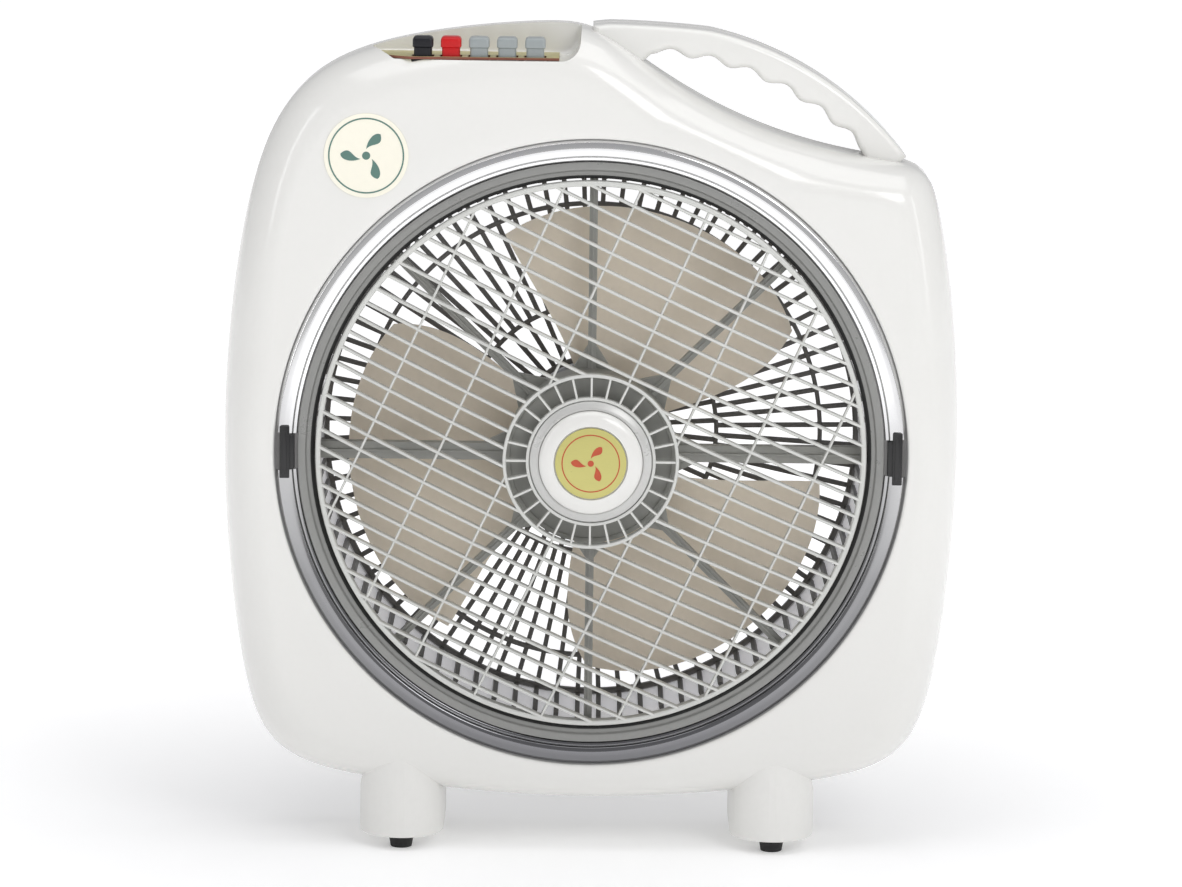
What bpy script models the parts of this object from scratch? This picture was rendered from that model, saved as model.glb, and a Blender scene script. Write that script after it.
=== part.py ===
"""Box fan with a turning louvre, five piano keys and a carrying handle.

Metres, +Z up, front towards -Y. The origin is on the floor, in the middle of
the fan's footprint. Depths ("d") are measured backwards from the front face
of the front shell, so world y = FRONT_Y + d.
"""
import math

import bmesh
import bpy
from mathutils import Matrix, Vector

MM = 0.001

# Whole fan -------------------------------------------------------------
AXIS_Z = 250 * MM            # height of the fan axis above the floor
FRONT_Y = -42.6 * MM           # front face of the front shell
HALF_WIDTH = 226 * MM        # axis to the side of the housing
TOP_RISE = 261 * MM          # axis to the top of the housing
BOTTOM_DROP = 219 * MM       # axis to the underside of the housing
SIDE_RADIUS = 830 * MM       # bulge of the two sides
TOP_RADIUS = 700 * MM        # bulge of the top
BOTTOM_RADIUS = 900 * MM     # bulge of the underside
TOP_CORNER = 10.8            # blending powers: higher is a tighter corner
BOTTOM_CORNER = 15.0
WALL = 2.4 * MM              # wall of the mouldings
GAP = 0.3 * MM               # clearance between separate pieces
COLUMNS = 60                 # points round a housing section
ROUND = 54                   # sides of the large rings

# Shells ----------------------------------------------------------------
OPENING_R = 193.5 * MM       # front opening
EDGE_ROUND = 30 * MM         # width of the soft front edge
EDGE_DEPTH = 34 * MM         # depth of the soft front edge
PARTING_D = 60 * MM          # where the front and rear shells meet
REAR_D = 100 * MM            # rear face of the rear shell
REAR_ROUND = 28 * MM
REAR_OPENING_R = 168.3 * MM
TUBE_DEPTH = 24 * MM         # depth of the wall round the front opening
SHOULDER_X = 215 * MM        # circle that hollows the shoulder under the handle
SHOULDER_Z = 492 * MM
SHOULDER_R = 314 * MM
SHOULDER_POWER = 30.0

# Handle ----------------------------------------------------------------
GRIP_X, GRIP_Z = 27.2 * MM, 53.4 * MM     # centre of the handle's arc
GRIP_R = 208 * MM            # outer edge of the handle
GRIP_THICK = 17 * MM
GRIP_FRONT_D = 36 * MM
GRIP_REAR_D = 84 * MM
GRIP_START, GRIP_END = 38, 98     # degrees round the handle's centre
HOLE_START, HOLE_END = 44, 88
SCALLOPS = 6
SCALLOP_RISE = 2.0 * MM
GRIP_ROOT = 5 * MM           # how far the handle's ends reach into the shells
GROOVE = 0.5 * MM            # shadow line between the halves of the handle

# Louvre ----------------------------------------------------------------
LOUVRE_R = 168.2 * MM
LOUVRE_TILT = -25            # degrees: the slats fall to the right
SLAT_PITCH = 10.3 * MM
SLAT_PAIRS = 16
SLAT_THICK = 1.7 * MM
SLAT_DEPTH = 7 * MM
BAR_PITCH = 85.6 * MM
BAR_PAIRS = 1
DOME_RISE = 23 * MM          # middle of the louvre in front of its rim
INNER_RING_R = 53.5 * MM
SPOKES = 28
HUB_R = 37.2 * MM

# Carrier, trim ---------------------------------------------------------
CARRIER_R = 179.3 * MM
TRIM_IN_R = 179.8 * MM
TRIM_OUT_R = 193.0 * MM
TRIM_GAP_HALF = 11 * MM      # half the space between the two trim halves
ARM_D = 12 * MM
ARM_DEPTH = 8 * MM
CUP_R = 52 * MM

# Fan, motor ------------------------------------------------------------
BLADE_R = 150 * MM
BLADE_HUB_R = 30 * MM
BLADES = 3
BLADE_SPAN = 82              # degrees that one blade covers
BLADE_FIRST_GAP = 5          # degrees: middle of the first gap at rest
BLADE_FRONT_D = 27 * MM
BLADE_BACK_D = 60 * MM
MOTOR_R = 44 * MM
MOTOR_FRONT_D = 63 * MM
MOTOR_REAR_D = 108 * MM
SHAFT_R = 4 * MM

# Rear grille -----------------------------------------------------------
GRILLE_R = 168 * MM
GRILLE_RIM_D = 92 * MM
GRILLE_RISE = 17 * MM        # how far the middle stands behind the rim
RIBS = 36
RIB_WIDTH = 2.6 * MM
RIB_DEPTH = 3.4 * MM
GRILLE_RINGS = (79 * MM, 144 * MM)
PLATE_R = 46 * MM            # plate in the middle that the motor is screwed to
PLATE_DEPTH = 5.6 * MM
MOTOR_SCREW_R = 36 * MM

# Keys ------------------------------------------------------------------
KEY_NAMES = ("key_swing", "key_off", "key_low", "key_medium", "key_high")
KEY_FIRST_X = -104.5 * MM
KEY_PITCH = 17 * MM
KEY_WIDTH = 12.4 * MM
KEY_LENGTH = 14 * MM
KEY_RISE = 12 * MM           # key above the control plate
KEY_SINK = 8 * MM            # key below the control plate
KEY_D = 14 * MM              # depth of the middle of the keys
NOTCH_FLOOR = 240 * MM       # above the axis
NOTCH_LEFT, NOTCH_RIGHT = -136 * MM, -9 * MM
NOTCH_FRONT_D, NOTCH_REAR_D = -3 * MM, 52 * MM
NOTCH_LOBE = 46 * MM         # rounding of the recess's left end
PLATE_THICK = 1.6 * MM
PLATE_FRONT_D = 5 * MM

# Feet ------------------------------------------------------------------
FOOT_X = 115 * MM
FOOT_WIDTH = 52 * MM
FOOT_TOP = 61 * MM
FOOT_FRONT_D, FOOT_REAR_D = 2 * MM, 104 * MM
PAD_HEIGHT = 8 * MM
PAD_R = 8 * MM
PAD_DS = (19 * MM, 87 * MM)

WHITE = ("shell_white", (0.87, 0.87, 0.85), 0.28, 0.0)
SILVER = ("louvre_silver", (0.58, 0.58, 0.55), 0.35, 0.0)
GREY = ("carrier_grey", (0.27, 0.27, 0.25), 0.40, 0.0)
DARK = ("grille_charcoal", (0.06, 0.06, 0.06), 0.50, 0.0)
CHROME = ("chrome_trim", (0.85, 0.86, 0.88), 0.12, 1.0)
TAUPE = ("blade_taupe", (0.56, 0.46, 0.36), 0.35, 0.0)
GOLD = ("olive_gold", (0.52, 0.45, 0.18), 0.35, 0.3)
BLACK = ("key_black", (0.02, 0.02, 0.03), 0.30, 0.0)
RED = ("key_red", (0.58, 0.02, 0.03), 0.30, 0.0)
KEY_GREY = ("key_grey", (0.30, 0.33, 0.33), 0.30, 0.0)
RUBBER = ("rubber_black", (0.02, 0.02, 0.02), 0.80, 0.0)
STEEL = ("steel", (0.55, 0.55, 0.57), 0.30, 1.0)
COPPER = ("copper_winding", (0.60, 0.26, 0.10), 0.35, 1.0)
CREAM = ("sticker_cream", (0.90, 0.86, 0.70), 0.40, 0.0)
BRONZE = ("bronze", (0.45, 0.27, 0.10), 0.40, 1.0)

for old in list(bpy.data.objects):
    bpy.data.objects.remove(old, do_unlink=True)


def new_collection(name):
    collection = bpy.data.collections.new(name)
    bpy.context.scene.collection.children.link(collection)
    return collection


PARTS = new_collection("box_fan")
CUTTERS = new_collection("box_fan_cutters")


def material(spec):
    """The Principled material of a (name, colour, roughness, metallic) tuple."""
    name, colour, roughness, metallic = spec
    found = bpy.data.materials.get(name)
    if found:
        return found
    made = bpy.data.materials.new(name)
    made.use_nodes = True
    shader = made.node_tree.nodes["Principled BSDF"]
    shader.inputs["Base Color"].default_value = (*colour, 1.0)
    shader.inputs["Roughness"].default_value = roughness
    shader.inputs["Metallic"].default_value = metallic
    made.diffuse_color = (*colour, 1.0)
    return made


def add_object(name, mesh, collection=CUTTERS):
    obj = bpy.data.objects.new(name, mesh)
    collection.objects.link(obj)
    if collection is CUTTERS:
        obj.hide_render = True
        obj.display_type = "WIRE"
    return obj


def make_part(obj, name, finish, parent=None):
    """Turn a helper object into a named part of the fan."""
    CUTTERS.objects.unlink(obj)
    PARTS.objects.link(obj)
    obj.name = name
    obj.hide_render = False
    obj.display_type = "TEXTURED"
    obj.data.materials.clear()
    obj.data.materials.append(material(finish))
    obj.data.shade_smooth()
    obj.data.set_sharp_from_angle(angle=math.radians(35))
    if parent:
        bpy.context.view_layer.update()
        keep = obj.matrix_world.copy()
        obj.parent = parent
        obj.matrix_parent_inverse = parent.matrix_world.inverted()
        obj.matrix_world = keep
    return obj


def boolean(target, other, operation):
    """Union, difference or intersection with a helper object, kept live."""
    modifier = target.modifiers.new(operation.lower(), "BOOLEAN")
    modifier.operation = operation
    modifier.solver = "EXACT"
    modifier.object = other
    return target


def cut(target, *others):
    for other in others:
        boolean(target, other, "DIFFERENCE")
    return target


def join(target, *others):
    for other in others:
        boolean(target, other, "UNION")
    return target


def mesh_from(name, bm):
    bmesh.ops.recalc_face_normals(bm, faces=bm.faces)
    mesh = bpy.data.meshes.new(name)
    bm.to_mesh(mesh)
    bm.free()
    return mesh


def box(name, x, y, z):
    """A box between the (low, high) pairs of x, y and z, in world metres."""
    size = Vector((x[1] - x[0], y[1] - y[0], z[1] - z[0]))
    middle = Vector((x[0] + x[1], y[0] + y[1], z[0] + z[1])) / 2
    bm = bmesh.new()
    bmesh.ops.create_cube(bm, size=1.0, matrix=Matrix.Diagonal(size.to_4d()))
    obj = add_object(name, mesh_from(name, bm))
    obj.location = middle
    return obj


def depth_box(name, x, d, z):
    """A box whose depth is given from the front face, and height from the axis."""
    y = (FRONT_Y + d[0], FRONT_Y + d[1])
    return box(name, x, y, (AXIS_Z + z[0], AXIS_Z + z[1]))


def rounded(obj, width, segments=3):
    modifier = obj.modifiers.new("rounded edges", "BEVEL")
    modifier.width = width
    modifier.segments = segments
    modifier.limit_method = "ANGLE"
    modifier.angle_limit = math.radians(40)
    return obj


def turned(name, profile, steps=64, x=0.0, z=0.0):
    """A body turned round an axis along Y, from (radius, depth) points.

    The points run from the front out to the rim and on to the back. A profile
    that starts and ends on the axis makes a solid, any other makes a ring.
    """
    solid = profile[0][0] == 0 and profile[-1][0] == 0
    bm = bmesh.new()
    points = [bm.verts.new((radius, 0, -depth)) for radius, depth in profile]
    for first, second in zip(points, points[1:]):
        bm.edges.new((first, second))
    if not solid:
        bm.edges.new((points[-1], points[0]))
    mesh = bpy.data.meshes.new(name)
    bm.to_mesh(mesh)
    bm.free()
    obj = add_object(name, mesh)
    screw = obj.modifiers.new("turned", "SCREW")
    screw.steps = steps
    screw.render_steps = steps
    screw.use_merge_vertices = True
    screw.merge_threshold = 0.00001
    obj.rotation_euler = (math.pi / 2, 0, 0)
    obj.location = (x, FRONT_Y, AXIS_Z + z)
    return obj


def ring(name, inner, outer, front, back, steps=64, x=0.0, z=0.0):
    profile = [(inner, front), (outer, front), (outer, back), (inner, back)]
    return turned(name, profile, steps, x, z)


def disc(name, radius, front, back, steps=48, x=0.0, z=0.0):
    profile = [(0, front), (radius, front), (radius, back), (0, back)]
    return turned(name, profile, steps, x, z)


def arc(middle, radius, start, end, count):
    """Points on an arc, with the angles in degrees."""
    angles = [math.radians(start + (end - start) * i / (count - 1)) for i in range(count)]
    return [(middle[0] + radius * math.cos(a), middle[1] + radius * math.sin(a)) for a in angles]


def flat_shape(name, outline, thickness, upright=True):
    """A plate cut to an outline: upright ones lie in XZ, the others in XY."""
    curve = bpy.data.curves.new(name, "CURVE")
    curve.dimensions = "2D"
    curve.fill_mode = "BOTH"
    curve.extrude = thickness / 2
    spline = curve.splines.new("POLY")
    spline.points.add(len(outline) - 1)
    for point, (across, along) in zip(spline.points, outline):
        point.co = (across, along, 0, 1)
    spline.use_cyclic_u = True
    helper = bpy.data.objects.new(name, curve)
    CUTTERS.objects.link(helper)
    bpy.context.view_layer.update()
    evaluated = helper.evaluated_get(bpy.context.evaluated_depsgraph_get())
    mesh = bpy.data.meshes.new_from_object(evaluated)
    bpy.data.objects.remove(helper)
    bm = bmesh.new()
    bm.from_mesh(mesh)
    bmesh.ops.remove_doubles(bm, verts=bm.verts, dist=0.00001)
    bmesh.ops.recalc_face_normals(bm, faces=bm.faces)
    bm.to_mesh(mesh)
    bm.free()
    obj = add_object(name, mesh)
    if upright:
        obj.rotation_euler = (math.pi / 2, 0, 0)
    return obj


# Housing sections ------------------------------------------------------

def ray_to_circle(angle, centre, radius, near=False):
    """How far from the axis a ray meets a circle, or None where it misses."""
    along = centre[0] * math.cos(angle) + centre[1] * math.sin(angle)
    inside = along ** 2 - centre[0] ** 2 - centre[1] ** 2 + radius ** 2
    if inside < 0:
        return None
    return along - math.sqrt(inside) if near else along + math.sqrt(inside)


def full_outline(angle):
    """Radius of the housing's outline: four bulged sides with soft corners."""
    circles = (
        ((HALF_WIDTH - SIDE_RADIUS, 0), SIDE_RADIUS),
        ((SIDE_RADIUS - HALF_WIDTH, 0), SIDE_RADIUS),
        ((0, TOP_RISE - TOP_RADIUS), TOP_RADIUS),
        ((0, BOTTOM_RADIUS - BOTTOM_DROP), BOTTOM_RADIUS),
    )
    power = TOP_CORNER if math.sin(angle) > 0 else BOTTOM_CORNER
    total = sum(ray_to_circle(angle, c, r) ** -power for c, r in circles)
    return total ** (-1 / power)


def body_outline(angle):
    """The outline with its upper right shoulder hollowed under the handle."""
    radius = full_outline(angle)
    shoulder = ray_to_circle(angle, (SHOULDER_X, SHOULDER_Z), SHOULDER_R, near=True)
    if shoulder is None or shoulder < 0:
        return radius
    total = radius ** -SHOULDER_POWER + shoulder ** -SHOULDER_POWER
    return total ** (-1 / SHOULDER_POWER)


def section(outline, inset, depth, grow=0.0, least=0.0):
    """One loop of points at a depth, drawn in from the outline."""
    loop = []
    for column in range(COLUMNS):
        angle = 2 * math.pi * column / COLUMNS
        radius = outline(angle)
        room = max(radius - least, 0) * 0.85 if least else inset
        radius += grow - min(inset, room)
        loop.append(Vector((radius * math.cos(angle), FRONT_Y + depth,
                            AXIS_Z + radius * math.sin(angle))))
    return loop


def loft(name, loops):
    """A closed body through loops that all have the same number of points."""
    bm = bmesh.new()
    rows = [[bm.verts.new(point) for point in loop] for loop in loops]
    for row, following in zip(rows, rows[1:]):
        for i in range(len(row)):
            j = (i + 1) % len(row)
            bm.faces.new((row[i], row[j], following[j], following[i]))
    bm.faces.new(rows[0])
    bm.faces.new(list(reversed(rows[-1])))
    return add_object(name, mesh_from(name, bm))


def front_body(name, inset=0.0, front=0.0, back=PARTING_D):
    """The front half as a solid, drawn in all round by inset."""
    loops = []
    for degrees in (0, 20, 40, 60, 90):
        turn = math.radians(degrees)
        drawn_in = EDGE_ROUND * (1 - math.sin(turn)) + inset
        depth = EDGE_DEPTH * (1 - math.cos(turn)) + front
        loops.append(section(body_outline, drawn_in, depth, least=OPENING_R + 3 * MM))
    loops.append(section(body_outline, inset, back))
    return loft(name, loops)


def rear_body(name, inset=0.0, front=PARTING_D + GAP, back=REAR_D):
    """The rear half as a solid, drawn in all round by inset."""
    loops = [section(body_outline, inset, front)]
    start = REAR_D - REAR_ROUND - 4 * MM
    for degrees in (0, 30, 60, 90):
        turn = math.radians(degrees)
        drawn_in = REAR_ROUND * (1 - math.cos(turn)) + inset
        depth = start + (back - start) * math.sin(turn)
        loops.append(section(body_outline, drawn_in, depth, least=REAR_OPENING_R + 4 * MM))
    return loft(name, loops)


def grip_point(degrees, radius):
    angle = math.radians(degrees)
    return GRIP_X + radius * math.cos(angle), GRIP_Z + radius * math.sin(angle)


def kept_inside(point, outline, margin):
    """The point, drawn towards the axis until it is inside the outline."""
    radius, angle = math.hypot(*point), math.atan2(point[1], point[0])
    radius = min(radius, outline(angle) - margin)
    return radius * math.cos(angle), radius * math.sin(angle)


def grip_outline():
    """The handle bar: outer edge, then back along the finger scallops."""
    outer = []
    for degrees in range(GRIP_START, GRIP_END + 1, 3):
        outer.append(kept_inside(grip_point(degrees, GRIP_R), full_outline, 0.4 * MM))
    inner = []
    for degrees in (GRIP_END, (GRIP_END + HOLE_END) / 2, HOLE_END + 1.5):
        inner.append(kept_inside(grip_point(degrees, GRIP_R), body_outline, GRIP_ROOT))
    steps = 5 * SCALLOPS
    for i in range(steps + 1):
        share = i / steps
        wave = math.cos(2 * math.pi * SCALLOPS * share)
        radius = GRIP_R - GRIP_THICK - SCALLOP_RISE * wave
        inner.append(grip_point(HOLE_END + (HOLE_START - HOLE_END) * share, radius))
    for degrees in (HOLE_START - 2, GRIP_START):
        inner.append(kept_inside(grip_point(degrees, GRIP_R), body_outline, GRIP_ROOT))
    return outer + inner


def grip(name, front, back):
    obj = flat_shape(name, grip_outline(), back - front)
    obj.location = (0, FRONT_Y + (front + back) / 2, AXIS_Z)
    return obj


def notch():
    """The control recess: a leaf-shaped pocket with a curved right wall."""
    top = 300 * MM
    corner = 12 * MM
    side = [(NOTCH_LEFT, top), (NOTCH_LEFT, NOTCH_FLOOR)]
    side += arc((NOTCH_RIGHT - corner, NOTCH_FLOOR + corner), corner, -90, 0, 5)
    side.append((NOTCH_RIGHT + 3 * MM, top))
    body = flat_shape("notch_side", side, NOTCH_REAR_D - NOTCH_FRONT_D)
    body.location = (0, FRONT_Y + (NOTCH_FRONT_D + NOTCH_REAR_D) / 2, AXIS_Z)
    plan = [(NOTCH_LEFT - 2 * MM, NOTCH_REAR_D + MM)]
    plan += arc((NOTCH_LEFT + NOTCH_LOBE, NOTCH_FRONT_D + NOTCH_LOBE), NOTCH_LOBE, 180, 270, 7)
    plan += [(NOTCH_RIGHT + 9 * MM, NOTCH_FRONT_D), (NOTCH_RIGHT + 9 * MM, NOTCH_REAR_D + MM)]
    above = flat_shape("notch_plan", plan, 120 * MM, upright=False)
    above.location = (0, FRONT_Y, AXIS_Z + NOTCH_FLOOR + 40 * MM)
    boolean(body, above, "INTERSECT")
    return body


def key_x(index):
    return KEY_FIRST_X + KEY_PITCH * index


def key_holes(name, spare, low, high):
    """Five rectangular ways for the keys, as separate boxes in one mesh."""
    bm = bmesh.new()
    size = Vector((KEY_WIDTH + 2 * spare, KEY_LENGTH + 2 * spare, high - low))
    for index in range(len(KEY_NAMES)):
        middle = Vector((key_x(index), FRONT_Y + KEY_D, AXIS_Z + (low + high) / 2))
        place = Matrix.Translation(middle) @ Matrix.Diagonal(size.to_4d())
        bmesh.ops.create_cube(bm, size=1.0, matrix=place)
    return add_object(name, mesh_from(name, bm))


def screw_places():
    """Six (x, z) places round the rear face, midway between opening and edge."""
    places = []
    for degrees in (45, 90, 135, 225, 270, 315):
        angle = math.radians(degrees)
        radius = (REAR_OPENING_R + body_outline(angle) - REAR_ROUND) / 2
        places.append((radius * math.cos(angle), radius * math.sin(angle)))
    return places


GROMMET_X, GROMMET_Z = -150 * MM, -128 * MM


def build_front_shell():
    shell = front_body("front_outer")
    cavity = front_body("front_inner", WALL, WALL, PARTING_D + 2 * MM)
    keep = depth_box("panel_block", (NOTCH_LEFT - 9 * MM, NOTCH_RIGHT + 7 * MM),
                     (-5 * MM, NOTCH_REAR_D + 4 * MM), (NOTCH_FLOOR - 3.2 * MM, 300 * MM))
    cut(cavity, keep)
    cut(shell, cavity, disc("opening", OPENING_R, -8 * MM, 80 * MM, ROUND))
    tube = ring("opening_tube", OPENING_R + GAP, OPENING_R + WALL, MM, TUBE_DEPTH, ROUND)
    join(shell, tube, grip("grip_front", GRIP_FRONT_D, PARTING_D - GROOVE))
    cut(shell, notch(), key_holes("shell_key_ways", 0.8 * MM, 200 * MM, 280 * MM))
    return make_part(shell, "front_shell", WHITE)


def build_rear_shell():
    shell = rear_body("rear_outer")
    cavity = rear_body("rear_inner", WALL, PARTING_D - 2 * MM, REAR_D - WALL)
    cut(shell, cavity, disc("rear_opening", REAR_OPENING_R, 50 * MM, 120 * MM, ROUND))
    join(shell, grip("grip_rear", PARTING_D + GAP + GROOVE, GRIP_REAR_D))
    for index, (x, z) in enumerate(screw_places()):
        cut(shell, disc(f"screw_hole_{index}", 2.4 * MM, 90 * MM, 110 * MM, 10, x, z))
    cut(shell, disc("cord_hole", 6.3 * MM, 90 * MM, 110 * MM, 16, GROMMET_X, GROMMET_Z))
    return make_part(shell, "rear_shell", WHITE)


def build_shell_screws():
    head_d = REAR_D + GAP
    for index, (x, z) in enumerate(screw_places()):
        profile = [(0, head_d - 12 * MM), (2 * MM, head_d - 12 * MM), (2 * MM, head_d),
                   (4 * MM, head_d), (3.4 * MM, head_d + 2 * MM), (0, head_d + 2.2 * MM)]
        make_part(turned("screw", profile, 8, x, z), f"shell_screw_{index + 1}", STEEL)


def build_cord_grommet():
    front, skin = REAR_D - 8 * MM, REAR_D - WALL - GAP
    profile = [(3.5 * MM, front), (8 * MM, front), (8 * MM, skin), (6 * MM, skin),
               (6 * MM, REAR_D + 6 * MM), (3.5 * MM, REAR_D + 6 * MM)]
    grommet = turned("grommet", profile, 16, GROMMET_X, GROMMET_Z)
    make_part(grommet, "cord_grommet", RUBBER)


# Front ring, carrier, louvre -------------------------------------------

def build_trim():
    """The bright ring in two halves, held at the sides by two dark clips."""
    profile = [(TRIM_IN_R, 5 * MM), (TRIM_IN_R + 2.5 * MM, 2.4 * MM),
               (TRIM_OUT_R - 3 * MM, 1.6 * MM), (TRIM_OUT_R, 3.2 * MM),
               (TRIM_OUT_R, 6 * MM), (TRIM_IN_R, 9 * MM)]
    half = 210 * MM
    for name, low, high in (("chrome_trim_upper", -half, TRIM_GAP_HALF),
                            ("chrome_trim_lower", -TRIM_GAP_HALF, half)):
        trim = turned(name + "_ring", profile, ROUND)
        away = depth_box(name + "_cut", (-half, half), (-5 * MM, 20 * MM), (low, high))
        make_part(cut(trim, away), name, CHROME)
    for name, side in (("trim_clip_left", -1), ("trim_clip_right", 1)):
        reach = sorted((side * 181.2 * MM, side * 187 * MM))
        block = depth_box(name + "_block", reach, (-0.6 * MM, 8 * MM), (-10.6 * MM, 10.6 * MM))
        reach = sorted((side * 184 * MM, side * 190 * MM))
        plate = depth_box(name + "_plate", reach, (-1.4 * MM, 1.2 * MM), (-16 * MM, 16 * MM))
        make_part(join(block, plate), name, BLACK)


def build_carrier():
    """Stepped outer ring, eight arms and the cup that holds the louvre motor."""
    inner = LOUVRE_R + MM
    profile = [(inner, 7 * MM), (inner + 2.2 * MM, 4.6 * MM), (inner + 4.6 * MM, 4.6 * MM),
               (inner + 5.4 * MM, 3.2 * MM), (CARRIER_R, 3.2 * MM), (CARRIER_R, 22 * MM),
               (inner, 22 * MM)]
    carrier = turned("carrier_ring", profile, ROUND)
    back = ARM_D + ARM_DEPTH + 2 * MM
    cup = [(CUP_R - 3 * MM, -11 * MM), (CUP_R, -11 * MM), (CUP_R, back), (4 * MM, back),
           (4 * MM, back - 3 * MM), (CUP_R - 3 * MM, back - 3 * MM)]
    join(carrier, turned("carrier_cup", cup, 30))
    bm = bmesh.new()
    start, end = CUP_R - MM, inner + 3 * MM
    for index in range(8):
        width = (10.6 if index in (0, 4) else 5) * MM
        size = Vector((end - start, ARM_DEPTH, width))
        angle = Matrix.Rotation(-math.pi / 4 * index, 4, "Y")
        place = Matrix.Translation(((start + end) / 2, ARM_D + ARM_DEPTH / 2, 0))
        bmesh.ops.create_cube(bm, size=1.0, matrix=angle @ place @ Matrix.Diagonal(size.to_4d()))
    arms = add_object("carrier_arms", mesh_from("carrier_arms", bm))
    arms.location = (0, FRONT_Y, AXIS_Z)
    return make_part(join(carrier, arms), "louvre_carrier", GREY)


def dome(radius):
    """Depth of the louvre's front at a radius: it stands out in the middle."""
    span = LOUVRE_R ** 2 - INNER_RING_R ** 2
    return -MM - DOME_RISE * (1 - (radius ** 2 - INNER_RING_R ** 2) / span)


def domed_bars(name, tilt, offsets, thickness, depth, segments, drop=0.0):
    """Parallel bars between the two rings, bent to the dome."""
    outer, inner = LOUVRE_R - 2 * MM, INNER_RING_R - MM
    turn = math.radians(tilt)
    bm = bmesh.new()
    for offset in offsets:
        end = math.sqrt(outer ** 2 - offset ** 2)
        if abs(offset) < inner:
            start = math.sqrt(inner ** 2 - offset ** 2)
            spans = ((-end, -start), (start, end))
        else:
            spans = ((-end, end),)
        for low, high in spans:
            size = Vector((high - low, depth, thickness))
            middle = Matrix.Translation(((low + high) / 2, 0, offset))
            made = bmesh.ops.create_cube(bm, size=1.0, matrix=middle @ Matrix.Diagonal(size.to_4d()))
            edges = {edge for vert in made["verts"] for edge in vert.link_edges}
            long_edges = [e for e in edges if abs(e.verts[0].co.x - e.verts[1].co.x) > MM]
            cuts = segments if len(spans) == 1 else segments // 2
            bmesh.ops.subdivide_edges(bm, edges=long_edges, cuts=cuts)
    for vert in bm.verts:
        across, depth_in, up = vert.co
        radius = math.hypot(across, up)
        vert.co.y = dome(radius) + depth_in + depth / 2 + drop
        vert.co.x = across * math.cos(turn) - up * math.sin(turn)
        vert.co.z = across * math.sin(turn) + up * math.cos(turn)
    bars = add_object(name, mesh_from(name, bm))
    bars.location = (0, FRONT_Y, AXIS_Z)
    return bars


def build_louvre(parent):
    """Turning louvre: rim, slats, cross bars, inner ring and spokes in one."""
    louvre = ring("louvre_rim", LOUVRE_R - 3.2 * MM, LOUVRE_R, -1.6 * MM, 7.4 * MM, ROUND)
    front = dome(INNER_RING_R) - 0.4 * MM
    inner = ring("louvre_inner", INNER_RING_R - 2.4 * MM, INNER_RING_R, front, front + 9 * MM, 36)
    eye = ring("louvre_eye", HUB_R + GAP, HUB_R + 3 * MM, front, front + 7 * MM, 36)
    half = SLAT_PITCH / 2
    slats = [half + SLAT_PITCH * i for i in range(-SLAT_PAIRS, SLAT_PAIRS)]
    bars = [BAR_PITCH * i for i in range(-BAR_PAIRS, BAR_PAIRS + 1)]
    slat_mesh = domed_bars("slats", LOUVRE_TILT, slats, SLAT_THICK, SLAT_DEPTH, 2)
    bar_mesh = domed_bars("bars", LOUVRE_TILT + 90, bars, 1.9 * MM, 5.4 * MM, 2, drop=0.8 * MM)
    bm = bmesh.new()
    start, end = HUB_R + 1.4 * MM, INNER_RING_R - 1.2 * MM
    size = Vector((end - start, 5.5 * MM, 1.5 * MM))
    for index in range(SPOKES):
        angle = Matrix.Rotation(-2 * math.pi * index / SPOKES, 4, "Y")
        place = Matrix.Translation(((start + end) / 2, front + 3.4 * MM, 0))
        bmesh.ops.create_cube(bm, size=1.0, matrix=angle @ place @ Matrix.Diagonal(size.to_4d()))
    spokes = add_object("spokes", mesh_from("spokes", bm))
    spokes.location = (0, FRONT_Y, AXIS_Z)
    join(louvre, inner, eye, slat_mesh, bar_mesh, spokes)
    make_part(louvre, "louvre_grille", SILVER, parent)


def build_louvre_hub(parent):
    face = dome(INNER_RING_R) - 2 * MM
    hub = [(0, face + 4 * MM), (31.4 * MM, face + 4 * MM), (31.4 * MM, face),
           (33 * MM, face), (35 * MM, face + 1.4 * MM), (HUB_R, face + 2.2 * MM),
           (HUB_R, face + 8 * MM), (10 * MM, face + 8 * MM), (10 * MM, face + 13 * MM),
           (3.3 * MM, face + 13 * MM), (3.3 * MM, face + 6 * MM), (0, face + 6 * MM)]
    make_part(turned("hub", hub, 28), "louvre_hub", GREY, parent)
    back = face + 4 * MM - GAP
    cap = [(0, face - 3.4 * MM), (22.6 * MM, face - 3.4 * MM), (22.6 * MM, face - 4.6 * MM),
           (25 * MM, face - 5.2 * MM), (28.5 * MM, face - 4 * MM), (30.6 * MM, face - 1.4 * MM),
           (30.6 * MM, back), (0, back)]
    make_part(turned("cap", cap, 28), "hub_cap", WHITE, parent)
    badge = disc("badge", 22.2 * MM, face - 4.7 * MM, face - 3.4 * MM - GAP, 32)
    make_part(badge, "hub_badge", GOLD, parent)
    shaft = disc("drive_shaft", 3 * MM, face + 6.4 * MM, 4 * MM, 16)
    make_part(shaft, "louvre_drive_shaft", STEEL, parent)


def build_louvre_motor():
    front = -7 * MM
    profile = [(0, 5 * MM), (3.4 * MM, 5 * MM), (3.4 * MM, front), (6 * MM, front),
               (6 * MM, -2 * MM), (24 * MM, -2 * MM), (24 * MM, 15 * MM), (0, 15 * MM)]
    make_part(turned("louvre_motor", profile, 24), "louvre_motor", STEEL)


# Fan and motor ---------------------------------------------------------

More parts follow.
